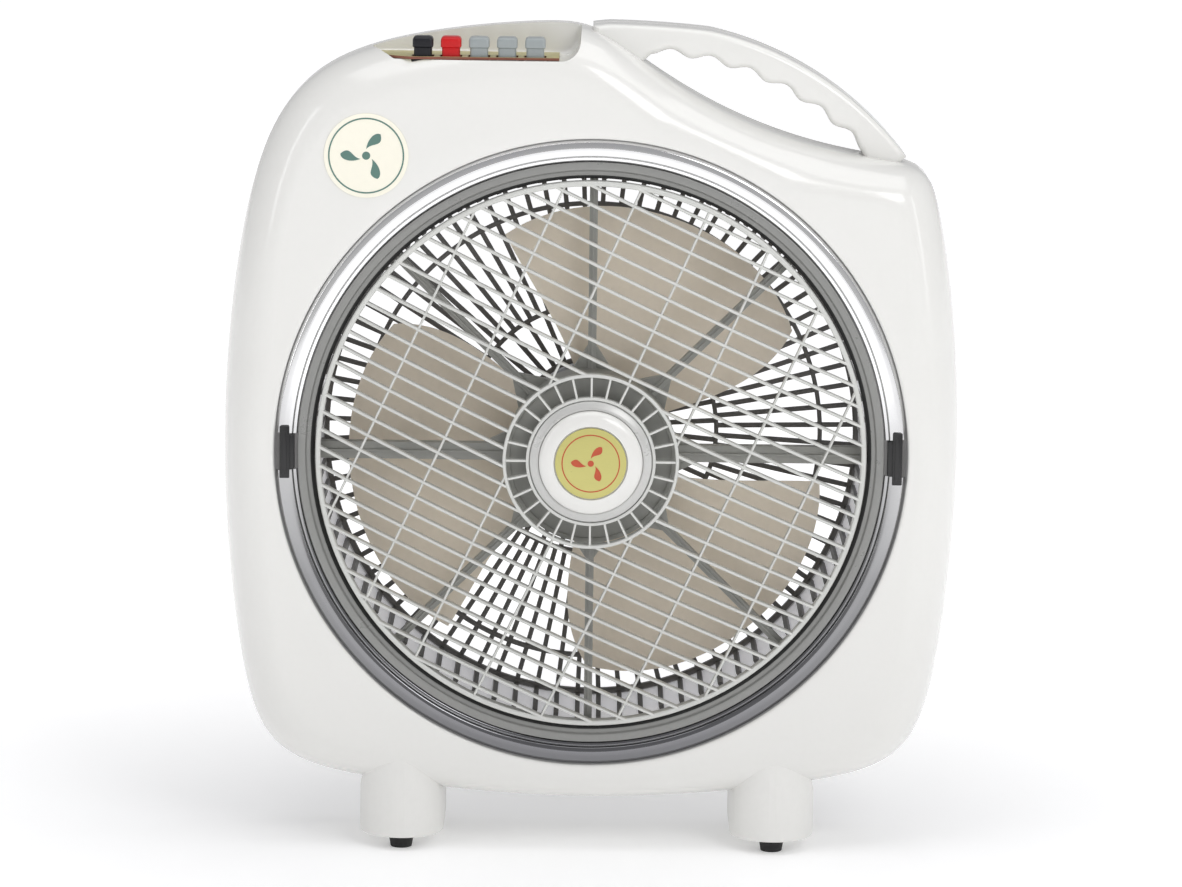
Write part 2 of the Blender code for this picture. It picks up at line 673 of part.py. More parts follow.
def build_fan_blade(parent):
    """Cup-shaped hub with three broad blades, twisted more near the hub."""
    hub = [(SHAFT_R + GAP, BLADE_FRONT_D - 2 * MM), (22 * MM, BLADE_FRONT_D - 2 * MM),
           (BLADE_HUB_R, BLADE_FRONT_D + 4 * MM), (BLADE_HUB_R, BLADE_BACK_D - 2 * MM),
           (BLADE_HUB_R - 2.4 * MM, BLADE_BACK_D - 2 * MM),
           (BLADE_HUB_R - 2.4 * MM, BLADE_FRONT_D + 6 * MM), (9 * MM, BLADE_FRONT_D + 4 * MM),
           (9 * MM, BLADE_BACK_D - 6 * MM), (SHAFT_R + GAP, BLADE_BACK_D - 6 * MM)]
    fan = turned("blade_hub", hub, 27)
    rows, columns = 4, 6
    bm = bmesh.new()
    for index in range(BLADES):
        middle = BLADE_FIRST_GAP + 180 / BLADES + 360 / BLADES * index
        grid = []
        for row in range(rows + 1):
            share = row / rows
            radius = BLADE_HUB_R - MM + (BLADE_R - BLADE_HUB_R + MM) * share
            half_span = BLADE_SPAN / 2 * (0.72 + 0.34 * math.sin(math.pi * (0.18 + 0.5 * share)))
            sweep = 10 * share ** 1.5 - 4
            line = []
            for column in range(columns + 1):
                along = 2 * column / columns - 1
                tip = 1 - 0.05 * share ** 3 * abs(along) ** 3
                angle = math.radians(middle + sweep + half_span * along)
                rise = (BLADE_BACK_D - BLADE_FRONT_D - 4 * MM) * (0.5 - 0.5 * along)
                bow = 3.5 * MM * math.cos(math.pi * along / 2)
                line.append(bm.verts.new((radius * tip * math.cos(angle),
                                          BLADE_FRONT_D + 2 * MM + rise - bow * share,
                                          radius * tip * math.sin(angle))))
            grid.append(line)
        for line, following in zip(grid, grid[1:]):
            for column in range(columns):
                bm.faces.new((line[column], line[column + 1],
                              following[column + 1], following[column]))
    blades = add_object("blades", mesh_from("blades", bm))
    blades.location = (0, FRONT_Y, AXIS_Z)
    thick = blades.modifiers.new("thickness", "SOLIDIFY")
    thick.thickness = 2.0 * MM
    thick.offset = 0
    make_part(join(fan, blades), "fan_blade", TAUPE, parent)


def build_rotor_parts(parent):
    front, back = 23.6 * MM, MOTOR_REAR_D - 4 * MM
    make_part(disc("shaft", SHAFT_R, front + 1.5 * MM, back, 16), "motor_shaft", STEEL, parent)
    core = ring("core", SHAFT_R + GAP, 25.6 * MM, 77 * MM, 93 * MM, 32)
    make_part(core, "rotor_core", STEEL, parent)


def build_motor():
    inner = MOTOR_R - 2 * MM
    front, rear = MOTOR_FRONT_D, MOTOR_REAR_D
    bore = SHAFT_R + 4.2 * MM
    cover = [(bore, front), (18 * MM, front), (22 * MM, front + 3 * MM),
             (MOTOR_R - 5 * MM, front + 3 * MM), (MOTOR_R, front + 8 * MM),
             (MOTOR_R, front + 13.5 * MM), (inner, front + 13.5 * MM), (inner, front + 8.6 * MM),
             (MOTOR_R - 6 * MM, front + 5 * MM), (20 * MM, front + 5 * MM),
             (14 * MM, front + 7 * MM), (bore, front + 7 * MM)]
    make_part(turned("front_cover", cover, 24), "motor_front_cover", STEEL)
    cover = [(0, rear - 2.4 * MM), (bore, rear - 2.4 * MM), (bore, rear - 9 * MM),
             (bore + 3 * MM, rear - 9 * MM), (bore + 3 * MM, rear - 2.4 * MM),
             (MOTOR_R - 5 * MM, rear - 2.4 * MM), (inner, rear - 6 * MM),
             (inner, rear - 13.5 * MM), (MOTOR_R, rear - 13.5 * MM), (MOTOR_R, rear - 5 * MM),
             (MOTOR_R - 4 * MM, rear), (0, rear)]
    make_part(turned("rear_cover", cover, 24), "motor_rear_cover", STEEL)
    stack = ring("stack", 26.4 * MM, MOTOR_R, front + 13.8 * MM, rear - 13.8 * MM, 32)
    make_part(stack, "stator_core", STEEL)
    for name, low, high in (("winding_front", front + 7.4 * MM, front + 13.5 * MM),
                            ("winding_rear", rear - 13.5 * MM, rear - 7.4 * MM)):
        middle, reach = (low + high) / 2, (high - low) / 2
        profile = [(27 * MM, middle), (29 * MM, middle - reach), (36 * MM, middle - reach),
                   (38 * MM, middle), (36 * MM, middle + reach), (29 * MM, middle + reach)]
        make_part(turned(name, profile, 24), name, COPPER)
    for name, low in (("front_bush", front + 0.5 * MM), ("rear_bush", rear - 8.6 * MM)):
        bush = ring(name, SHAFT_R + GAP, bore - GAP, low, low + 6 * MM, 16)
        make_part(bush, name, BRONZE)


def grille_depth(radius):
    """Depth of the dished ribs: a cone from the rim in to the motor's plate."""
    share = (GRILLE_R - radius) / (GRILLE_R - PLATE_R)
    return GRILLE_RIM_D + 2 * MM + GRILLE_RISE * share


def build_rear_grille():
    """Dished grille: rim, radial ribs, two hoops and the motor's plate."""
    grille = ring("grille_rim", GRILLE_R - 5 * MM, GRILLE_R, GRILLE_RIM_D,
                  GRILLE_RIM_D + 6.5 * MM, RIBS)
    front = MOTOR_REAR_D + GAP
    join(grille, disc("motor_plate", PLATE_R, front, front + PLATE_DEPTH, 32))
    for radius in GRILLE_RINGS:
        depth = grille_depth(radius) - 0.6 * MM
        hoop = ring("grille_hoop", radius - 1.5 * MM, radius + 1.5 * MM, depth,
                    depth + RIB_DEPTH + 1.2 * MM, RIBS)
        join(grille, hoop)
    low, high = PLATE_R - 2 * MM, GRILLE_R - 3 * MM
    size = Vector((high - low, RIB_DEPTH, RIB_WIDTH))
    place = Matrix.Translation(((low + high) / 2, 0, 0)) @ Matrix.Diagonal(size.to_4d())
    bm = bmesh.new()
    for index in range(RIBS):
        made = bmesh.ops.create_cube(bm, size=1.0, matrix=place)
        for vert in made["verts"]:
            vert.co.y += grille_depth(vert.co.x) + RIB_DEPTH / 2
        turn = Matrix.Rotation(-2 * math.pi * (index + 0.5) / RIBS, 4, "Y")
        bmesh.ops.transform(bm, matrix=turn, verts=made["verts"])
    ribs = add_object("grille_ribs", mesh_from("grille_ribs", bm))
    ribs.location = (0, FRONT_Y, AXIS_Z)
    join(grille, ribs)
    for x, z in motor_screw_places():
        cut(grille, disc("motor_hole", 2.3 * MM, 100 * MM, 130 * MM, 10, x, z))
    return make_part(grille, "rear_grille", DARK)


def motor_screw_places():
    angles = [math.radians(90 + 120 * i) for i in range(3)]
    return [(MOTOR_SCREW_R * math.cos(a), MOTOR_SCREW_R * math.sin(a)) for a in angles]


def build_motor_screws():
    face = MOTOR_REAR_D + PLATE_DEPTH + 2 * GAP
    for index, (x, z) in enumerate(motor_screw_places()):
        profile = [(0, face - 5.4 * MM), (2 * MM, face - 5.4 * MM), (2 * MM, face),
                   (4.2 * MM, face), (3.6 * MM, face + 2 * MM), (0, face + 2.2 * MM)]
        make_part(turned("screw", profile, 8, x, z), f"motor_screw_{index + 1}", STEEL)


# Controls --------------------------------------------------------------

def build_controls():
    low = NOTCH_FLOOR + GAP
    margin = 0.5 * MM
    right = NOTCH_RIGHT - 13 * MM
    lobe = NOTCH_REAR_D - PLATE_FRONT_D - 2 * margin
    plan = [(NOTCH_LEFT + 2 * MM, NOTCH_REAR_D - margin)]
    plan += arc((NOTCH_LEFT + 2 * MM + lobe, PLATE_FRONT_D + lobe), lobe, 180, 270, 7)
    plan += [(right, PLATE_FRONT_D), (right, NOTCH_REAR_D - margin)]
    plate = flat_shape("plate", plan, PLATE_THICK, upright=False)
    plate.location = (0, FRONT_Y, AXIS_Z + low + PLATE_THICK / 2)
    cut(plate, key_holes("plate_key_ways", 0.5 * MM, 200 * MM, 280 * MM))
    make_part(plate, "control_plate", GOLD)

    key_top = low + PLATE_THICK + KEY_RISE
    key_low = low + PLATE_THICK - KEY_SINK
    colours = (BLACK, RED, KEY_GREY, KEY_GREY, KEY_GREY)
    half_x, half_d = KEY_WIDTH / 2, KEY_LENGTH / 2
    for index, name in enumerate(KEY_NAMES):
        x = key_x(index)
        pivot = bpy.data.objects.new(name + "_slide", None)
        PARTS.objects.link(pivot)
        pivot.location = (x, FRONT_Y + KEY_D, AXIS_Z + key_low)
        bpy.context.view_layer.update()
        key = depth_box(name + "_cap", (x - half_x, x + half_x),
                        (KEY_D - half_d, KEY_D + half_d), (key_low, key_top))
        rounded(key, 2 * MM, 1)
        make_part(key, name, colours[index], pivot)

    top = key_low - 5 * MM - 2 * MM
    block = depth_box("switch", (key_x(0) - 11 * MM, key_x(4) + 11 * MM),
                      (KEY_D - 10 * MM, KEY_D + 14 * MM), (top - 22 * MM, top))
    make_part(rounded(block, 1.5 * MM, 1), "key_switch_block", BLACK)
    part = depth_box("run_capacitor", (-166 * MM, -132 * MM), (22 * MM, 44 * MM),
                     (150 * MM, 168 * MM))
    make_part(rounded(part, 1.5 * MM, 1), "capacitor", BLACK)
    emblem = disc("emblem", 25.6 * MM, -0.7 * MM, -GAP, 40, -138 * MM, 182 * MM)
    make_part(emblem, "emblem_sticker", CREAM)


# Feet ------------------------------------------------------------------

def build_feet():
    half = FOOT_WIDTH / 2
    base = PAD_HEIGHT + GAP - AXIS_Z
    crown = FOOT_TOP - half - AXIS_Z
    length = FOOT_REAR_D - FOOT_FRONT_D
    for name, side in (("foot_left", -1), ("foot_right", 1)):
        face = [(-half, base), (half, base)] + arc((0, crown), half, 0, 180, 13)
        foot = flat_shape(name + "_face", face, length)
        foot.location = (side * FOOT_X, FRONT_Y + FOOT_FRONT_D + length / 2, AXIS_Z)
        plan = arc((0, FOOT_FRONT_D + half), half + 0.1 * MM, 180, 360, 13)
        plan += arc((0, FOOT_REAR_D - half), half + 0.1 * MM, 0, 180, 13)
        stand = flat_shape(name + "_plan", plan, 200 * MM, upright=False)
        stand.location = (side * FOOT_X, FRONT_Y, 60 * MM)
        boolean(foot, stand, "INTERSECT")
        cut(foot, front_body(name + "_front_room", -GAP, -GAP, PARTING_D + MM),
            rear_body(name + "_rear_room", -GAP, PARTING_D - MM, REAR_D + GAP))
        make_part(foot, name, WHITE)
        for place, depth in zip(("front", "rear"), PAD_DS):
            bm = bmesh.new()
            bmesh.ops.create_cone(bm, cap_ends=True, segments=20, radius1=PAD_R - 1.2 * MM,
                                  radius2=PAD_R, depth=PAD_HEIGHT)
            pad = add_object("pad", mesh_from("pad", bm))
            pad.location = (side * FOOT_X, FRONT_Y + depth, PAD_HEIGHT / 2)
            label = name.replace("foot_", "pad_") + "_" + place
            make_part(pad, label, RUBBER)


def main():
    axes = {}
    for name in ("fan_axis", "louvre_axis"):
        axes[name] = bpy.data.objects.new(name, None)
        PARTS.objects.link(axes[name])
        axes[name].location = (0, FRONT_Y, AXIS_Z)
    bpy.context.view_layer.update()
    build_front_shell()
    build_rear_shell()
    build_shell_screws()
    build_cord_grommet()
    build_trim()
    build_carrier()
    build_louvre(axes["louvre_axis"])
    build_louvre_hub(axes["louvre_axis"])
    build_louvre_motor()
    build_fan_blade(axes["fan_axis"])
    build_rotor_parts(axes["fan_axis"])
    build_motor()
    build_rear_grille()
    build_motor_screws()
    build_controls()
    build_feet()
    bpy.context.view_layer.update()


main()
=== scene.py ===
"""Box fan: the finished surfaces, materials and studio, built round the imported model.

Shapes are drawn in millimetres and scaled once, when a mesh is finished. Depths
("d") run backwards from the front face of the front shell, and heights and
widths are taken from the fan's axis. The studio is in metres.
"""
import math

import bmesh
import bpy
from mathutils import Matrix, Vector


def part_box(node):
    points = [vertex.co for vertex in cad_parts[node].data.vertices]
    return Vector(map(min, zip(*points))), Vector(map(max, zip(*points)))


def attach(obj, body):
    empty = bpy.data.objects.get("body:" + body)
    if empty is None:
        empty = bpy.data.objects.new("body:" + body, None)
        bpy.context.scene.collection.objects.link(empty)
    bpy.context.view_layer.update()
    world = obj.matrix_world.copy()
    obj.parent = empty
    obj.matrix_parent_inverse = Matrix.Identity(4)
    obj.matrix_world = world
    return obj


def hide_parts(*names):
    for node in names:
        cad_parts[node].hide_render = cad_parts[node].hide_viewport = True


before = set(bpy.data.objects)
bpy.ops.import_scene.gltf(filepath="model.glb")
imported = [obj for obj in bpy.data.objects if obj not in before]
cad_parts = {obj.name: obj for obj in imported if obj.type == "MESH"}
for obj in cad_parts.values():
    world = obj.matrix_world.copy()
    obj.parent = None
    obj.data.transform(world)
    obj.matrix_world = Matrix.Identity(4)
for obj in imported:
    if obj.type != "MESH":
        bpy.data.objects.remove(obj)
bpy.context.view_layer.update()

MM = 0.001
FRONT_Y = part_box("front_shell")[0][1]
LOUVRE_LOW, LOUVRE_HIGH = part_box("louvre_grille")
AXIS_Z = (LOUVRE_LOW[2] + LOUVRE_HIGH[2]) / 2
GROUND = -AXIS_Z / MM
TO_WORLD = Matrix.Translation((0, FRONT_Y, AXIS_Z)) @ Matrix.Scale(MM, 4)

# Housing ---------------------------------------------------------------
HALF_WIDTH = 226
TOP_RISE, BOTTOM_DROP = 261, 219
SIDE_RADIUS, TOP_RADIUS, BOTTOM_RADIUS = 830, 700, 900
TOP_CORNER, BOTTOM_CORNER = 10.8, 15.0
WALL = 2.4
COLUMNS = 288
OPENING_R = 193.5
EDGE_ROUND, EDGE_DEPTH = 30, 34
PARTING_D, REAR_D = 60, 100
REAR_ROUND = 28
REAR_OPENING_R = 168.3
TUBE_DEPTH = 24
SHOULDER = (215, 492)
SHOULDER_R = 314
SHOULDER_POWER = 30.0
SEAM = 0.3

# Handle ----------------------------------------------------------------
GRIP_CENTRE = (27.2, 53.4)
GRIP_R, GRIP_THICK = 208, 17
GRIP_FRONT_D, GRIP_REAR_D = 36, 84
GRIP_START, GRIP_END = 38, 98
HOLE_START, HOLE_END = 44, 88
SCALLOPS, SCALLOP_RISE = 6, 2
GRIP_ROOT = 5
GRIP_EDGE = 4

# Louvre ----------------------------------------------------------------
LOUVRE_R = 168.2
LOUVRE_TILT = -25
SLAT_PITCH, SLATS = 10.3, 32
BAR_PITCH, BARS = 42.8, 7
DOME_RISE = 23
INNER_RING_R = 53.5
SPOKES = 28
HUB_R = 37.2

# Carrier, trim, fan, grille --------------------------------------------
CARRIER_R = 179.3
TRIM_IN_R, TRIM_OUT_R = 179.8, 193.0
TRIM_GAP_HALF = 11
ARM_D, ARM_DEPTH = 12, 8
CUP_R = 52
BLADE_R, BLADE_HUB_R = 150, 30
BLADES, BLADE_SPAN, BLADE_FIRST_GAP = 3, 82, 5
BLADE_FRONT_D, BLADE_BACK_D = 27, 60
SHAFT_R = 4
MOTOR_R, MOTOR_FRONT_D, MOTOR_REAR_D = 44, 63, 108
GRILLE_R, GRILLE_RIM_D, GRILLE_RISE = 168, 92, 17
OUTER_RIBS, INNER_RIBS = 80, 40
RIB_WIDTH, RIB_DEPTH = 3.0, 3.4
GAP_WIDTH = 2.2
DUCT_IN_R, DUCT_OUT_R = 169.4, 171
DUCT_FRONT_D, DUCT_BACK_D = 22.4, 97
GRILLE_RINGS = (79, 144)
PLATE_R, PLATE_DEPTH = 46, 5.6
MOTOR_SCREW_R = 36

# Keys, feet, emblem ----------------------------------------------------
KEYS = ("key_swing", "key_off", "key_low", "key_medium", "key_high")
KEY_FIRST_X, KEY_PITCH = -104.5, 17
KEY_WIDTH, KEY_LENGTH = 12.4, 14
KEY_RISE, KEY_SINK, KEY_D = 12, 8, 14
NOTCH_FLOOR = 240
KEY_WAY_HEIGHTS = (200, 280)
ABOVE_ALL = 300
NOTCH_LEFT, NOTCH_RIGHT = -136, -9
NOTCH_FRONT_D, NOTCH_REAR_D = -3, 52
NOTCH_LOBE = 46
LOBE_CENTRE = (NOTCH_LEFT + NOTCH_LOBE, NOTCH_FRONT_D + NOTCH_LOBE)
PANEL_THICK, PANEL_FRONT_D = 1.6, 5
FOOT_X, FOOT_WIDTH, FOOT_TOP = 115, 52, 61
FOOT_FRONT_D, FOOT_REAR_D = 2, 104
PAD_HEIGHT, PAD_R, PAD_DS = 8, 8, (19, 87)
GROMMET = (-150, -128)
EMBLEM = (-138, 182)
EMBLEM_R = 25.6


def new_collection(name):
    collection = bpy.data.collections.new(name)
    bpy.context.scene.collection.children.link(collection)
    return collection


PIECES = new_collection("fan_surfaces")
HELPERS = new_collection("fan_helpers")


# Materials -------------------------------------------------------------

def noise(tree, place, scale, detail, roughness=0.5):
    node = tree.nodes.new("ShaderNodeTexNoise")
    node.inputs["Scale"].default_value = scale
    node.inputs["Detail"].default_value = detail
    node.inputs["Roughness"].default_value = roughness
    tree.links.new(place, node.inputs["Vector"])
    return node.outputs["Fac"]


def ramp(tree, factor, stops):
    node = tree.nodes.new("ShaderNodeValToRGB")
    band = node.color_ramp
    while len(band.elements) < len(stops):
        band.elements.new(0.5)
    for element, (position, colour) in zip(band.elements, stops):
        element.position = position
        element.color = (*colour, 1.0)
    tree.links.new(factor, node.inputs["Fac"])
    return node.outputs["Color"]


def blended(tree, factor, first, second, mode="MIX"):
    node = tree.nodes.new("ShaderNodeMix")
    node.data_type = "RGBA"
    node.blend_type = mode
    for socket, value in ((node.inputs["Factor"], factor), (node.inputs[6], first),
                          (node.inputs[7], second)):
        if isinstance(value, bpy.types.NodeSocket):
            tree.links.new(value, socket)
        elif isinstance(value, tuple):
            socket.default_value = (*value, 1.0)
        else:
            socket.default_value = value
    return node.outputs[2]


def spread(tree, value, low, high, source=(0.3, 0.7)):
    node = tree.nodes.new("ShaderNodeMapRange")
    node.inputs["From Min"].default_value = source[0]
    node.inputs["From Max"].default_value = source[1]
    node.inputs["To Min"].default_value = low
    node.inputs["To Max"].default_value = high
    tree.links.new(value, node.inputs["Value"])
    return node.outputs["Result"]


def height_in(tree, coordinates):
    """The Z of the point being shaded, in one of the texture coordinates."""
    source = tree.nodes.new("ShaderNodeTexCoord")
    parts = tree.nodes.new("ShaderNodeSeparateXYZ")
    tree.links.new(source.outputs[coordinates], parts.inputs["Vector"])
    return parts.outputs["Z"]


def painted_reflection_by_height(tree, stops):
    """A painted reflection, changing with height from the bottom of the trim ring to its top."""
    share = spread(tree, height_in(tree, "Object"), 0.0, 1.0,
                   (AXIS_Z - TRIM_OUT_R * MM, AXIS_Z + TRIM_OUT_R * MM))
    return ramp(tree, share, stops)


def shade(colour, factor):
    return tuple(min(1.0, channel * factor) for channel in colour)


def surface(name, colour, roughness, metallic=0.0, drift=0.03, grain=1400.0, bump=0.05,
            coat=0.0, wear=None, stretch=(1, 1, 1), specular=0.5, painted_reflection=None, smear=0.18,
            painted_glow=0.0):
    """A moulded, painted or plated surface.

    The colour drifts softly, the gloss is uneven and a fine grain or orange
    peel lies over it. wear is the colour of rubbed edges and corners. The
    height ramp is a painted reflection that darkens it by height, and the
    emission is painted light standing in for the light that a thin wall lets through.
    """
    made = bpy.data.materials.new(name)
    made.use_nodes = True
    tree = made.node_tree
    shader = tree.nodes["Principled BSDF"]
    coordinates = tree.nodes.new("ShaderNodeTexCoord")
    mapping = tree.nodes.new("ShaderNodeMapping")
    mapping.inputs["Scale"].default_value = stretch
    tree.links.new(coordinates.outputs["Object"], mapping.inputs["Vector"])
    place = mapping.outputs["Vector"]
    clouds = noise(tree, place, 9.0, 4.0)
    tone = ramp(tree, clouds, ((0.3, shade(colour, 1 - drift)),
                               (0.7, shade(colour, 1 + drift))))
    specks = noise(tree, place, 260.0, 2.0)
    flecks = ramp(tree, specks, ((0.25, shade((1, 1, 1), 1 - drift)), (0.6, (1, 1, 1))))
    tone = blended(tree, 1.0, tone, flecks, "MULTIPLY")
    if wear:
        geometry = tree.nodes.new("ShaderNodeNewGeometry")
        edges = spread(tree, geometry.outputs["Pointiness"], 0.0, 0.55, (0.53, 0.62))
        tone = blended(tree, edges, tone, wear)
    # Painted reflection: the colour is darkened by height.
    if painted_reflection:
        tone = blended(tree, 1.0, tone, painted_reflection_by_height(tree, painted_reflection), "MULTIPLY")
    tree.links.new(tone, shader.inputs["Base Color"])
    smears = noise(tree, place, 38.0, 5.0, 0.6)
    uneven = spread(tree, smears, roughness * (1 - smear), min(1.0, roughness * (1 + smear)),
                    (0.2, 0.8))
    tree.links.new(uneven, shader.inputs["Roughness"])
    texture = tree.nodes.new("ShaderNodeBump")
    texture.inputs["Strength"].default_value = bump
    texture.inputs["Distance"].default_value = 0.0004
    tree.links.new(noise(tree, place, grain, 2.0), texture.inputs["Height"])
    tree.links.new(texture.outputs["Normal"], shader.inputs["Normal"])
    shader.inputs["Metallic"].default_value = metallic
    shader.inputs["Emission Color"].default_value = (0.95, 0.95, 1.0, 1.0)
    # Painted light: this emission makes a surface glow although it is no lamp.
    shader.inputs["Emission Strength"].default_value = painted_glow
    shader.inputs["Specular IOR Level"].default_value = specular
    shader.inputs["Coat Weight"].default_value = coat
    shader.inputs["Coat Roughness"].default_value = 0.12
    return made


WHITE = surface("gloss_white_abs", (0.775, 0.77, 0.745), 0.2, drift=0.008, grain=420.0,
                bump=0.03, coat=0.5, smear=0.05)
FOOT_WHITE = surface("foot_white_abs", (0.79, 0.785, 0.76), 0.34, drift=0.015, grain=900.0,
                     bump=0.06, coat=0.1)
# Painted light: the duct wall glows with a weak emission, standing in for light let through by
# thin white plastic.
DUCT_WHITE = surface("satin_white_duct", (0.91, 0.91, 0.92), 0.42, drift=0.02, grain=900.0,
                     painted_glow=0.28)
SILVER = surface("silver_painted_louvre", (0.61, 0.615, 0.59), 0.36, metallic=0.08,
                 grain=2600.0, bump=0.06, wear=(0.72, 0.72, 0.69))
GREY = surface("warm_grey_carrier", (0.36, 0.36, 0.335), 0.42, drift=0.05, grain=2200.0,
               bump=0.10, wear=(0.46, 0.46, 0.44))
BEZEL = surface("satin_grey_bezel", (0.27, 0.27, 0.26), 0.30, metallic=0.2, drift=0.04,
                grain=2000.0, wear=(0.42, 0.42, 0.41))
# Painted shadow: a near black for the shade in the gap between bezel and louvre.
SHADOW_GAP = surface("painted_gap_shadow", (0.045, 0.045, 0.045), 0.6, drift=0.1, grain=1600.0,
                     bump=0.08, specular=0.2)
HUB_GREY = surface("hub_grey_satin", (0.57, 0.57, 0.555), 0.30, metallic=0.2, grain=2000.0,
                   wear=(0.68, 0.68, 0.66))
# Painted reflection: the chrome is darkened towards the bottom of the ring, dark in its lower
# half and bright in its upper half.
CHROME = surface("chrome_plate", (0.93, 0.93, 0.935), 0.11, metallic=1.0, drift=0.01,
                 grain=300.0, bump=0.012,
                 painted_reflection=((0.0, (0.22, 0.22, 0.23)), (0.3, (0.28, 0.28, 0.285)),
                          (0.5, (0.5, 0.5, 0.5)), (0.62, (0.9, 0.9, 0.9))))
TAUPE = surface("taupe_blade_plastic", (0.86, 0.765, 0.63), 0.34, drift=0.035, grain=800.0,
                wear=(0.89, 0.82, 0.71))
CHARCOAL = surface("charcoal_grille", (0.15, 0.146, 0.14), 0.48, drift=0.12, grain=1800.0,
                   bump=0.12, wear=(0.14, 0.14, 0.14))
BLACK = surface("black_key_plastic", (0.008, 0.008, 0.011), 0.34, drift=0.15, grain=1600.0,
                bump=0.06, wear=(0.06, 0.06, 0.07), specular=0.35)
CLIP_BLACK = surface("black_clip_plastic", (0.014, 0.014, 0.015), 0.42, drift=0.15,
                     grain=1600.0, bump=0.08, wear=(0.05, 0.05, 0.05), specular=0.3)
RED = surface("red_key_plastic", (0.52, 0.008, 0.01), 0.34, drift=0.06, grain=1600.0,
              bump=0.06, wear=(0.70, 0.09, 0.08), specular=0.3)
KEY_GREY = surface("grey_key_plastic", (0.30, 0.33, 0.335), 0.30, drift=0.05, grain=1600.0,
                   bump=0.06, coat=0.15, wear=(0.46, 0.49, 0.49))
OLIVE = surface("olive_panel_foil", (0.50, 0.45, 0.20), 0.36, metallic=0.3,
                grain=900.0, bump=0.06, stretch=(1, 8, 1))
# Painted shadow: a dark brown for the front edge of the control fascia.
PANEL_EDGE_SHADOW = surface("panel_edge_painted_shadow", (0.22, 0.08, 0.05), 0.5, drift=0.1)
BADGE = surface("badge_gold_foil", (0.56, 0.52, 0.18), 0.32, metallic=0.25, drift=0.025,
                grain=1500.0, stretch=(1, 1, 10))
BADGE_RED = surface("badge_red_ink", (0.52, 0.08, 0.03), 0.45, drift=0.08)
RUBBER = surface("black_rubber", (0.018, 0.018, 0.018), 0.75, drift=0.2, grain=900.0, bump=0.3)
STEEL = surface("zinc_plated_steel", (0.58, 0.58, 0.60), 0.30, metallic=1.0, drift=0.05,
                grain=1200.0, bump=0.08, wear=(0.75, 0.75, 0.77))
LAMINATION = surface("stacked_laminations", (0.30, 0.30, 0.32), 0.42, metallic=1.0, drift=0.1,
                     grain=1500.0, bump=0.5, stretch=(0.05, 1, 0.05))
COPPER = surface("enamelled_copper", (0.60, 0.24, 0.08), 0.28, metallic=1.0, drift=0.12,
                 grain=1300.0, bump=0.6, coat=0.3, stretch=(1, 0.3, 1))
BRONZE = surface("sintered_bronze", (0.42, 0.26, 0.11), 0.45, metallic=1.0, drift=0.1)
CREAM = surface("cream_vinyl", (0.90, 0.87, 0.75), 0.42, drift=0.015, grain=700.0, bump=0.04)
INK_GREEN = surface("green_ink", (0.10, 0.20, 0.17), 0.40, drift=0.04, grain=700.0, bump=0.04)


# Meshes ----------------------------------------------------------------

def fillet(points, radius, closed=True, steps=4):
    """A profile with its corners rounded off."""
    rounded = []
    count = len(points)
    for i, point in enumerate(points):
        if not closed and i in (0, count - 1):
            rounded.append(tuple(point))
            continue
        here = Vector(point)
        before = Vector(points[i - 1]) - here
        after = Vector(points[(i + 1) % count]) - here
        start = here + before.normalized() * min(radius, before.length * 0.45)
        end = here + after.normalized() * min(radius, after.length * 0.45)
        for step in range(steps + 1):
            t = step / steps
            rounded.append(tuple((1 - t) ** 2 * start + 2 * t * (1 - t) * here + t ** 2 * end))
    return rounded


def strip(bm, rows, ring_rows=True, ring_profile=True):
    """Quads over rows of points; open strips of closed profiles get end caps."""
    made = [[bm.verts.new(point) for point in row] for row in rows]
    pairs = list(zip(made, made[1:]))
    if ring_rows:
        pairs.append((made[-1], made[0]))
    for row, following in pairs:
        for i in range(len(row) if ring_profile else len(row) - 1):
            j = (i + 1) % len(row)
            bm.faces.new((row[i], row[j], following[j], following[i]))
    if ring_profile and not ring_rows:
        bm.faces.new(made[0])
        bm.faces.new(list(reversed(made[-1])))


def finished_mesh(name, bm):
    """The mesh of a bmesh, put in its place in the world."""
    bmesh.ops.remove_doubles(bm, verts=bm.verts, dist=0.001)
    bmesh.ops.recalc_face_normals(bm, faces=bm.faces)
    bm.transform(TO_WORLD)
    mesh = bpy.data.meshes.new(name)
    bm.to_mesh(mesh)
    bm.free()
    return mesh


def polar(radius, degrees, centre=(0, 0)):
    angle = math.radians(degrees)
    return centre[0] + radius * math.cos(angle), centre[1] + radius * math.sin(angle)


def round_axis(radius, degrees, depth, x=0.0, z=0.0):
    across, up = polar(radius, degrees, (x, z))
    return Vector((across, depth, up))


def turn(bm, profile, steps=192, arc=None, x=0.0, z=0.0):
    """Turn (radius, depth) points round a line along Y, all the way or over an arc."""
    start, end = arc or (0, 360)
    count = steps + 1 if arc else steps
    on_axis = profile[0][0] == 0 and profile[-1][0] == 0
    rows = []
    for i in range(count):
        degrees = start + (end - start) * i / steps
        rows.append([round_axis(radius, degrees, depth, x, z) for radius, depth in profile])
    strip(bm, rows, ring_rows=not arc, ring_profile=not on_axis)


def turned(name, profile, steps=192, arc=None, x=0.0, z=0.0):
    bm = bmesh.new()
    turn(bm, profile, steps, arc, x, z)
    return finished_mesh(name, bm)


def helper(name, mesh):
    obj = bpy.data.objects.new(name, mesh)
    HELPERS.objects.link(obj)
    return obj


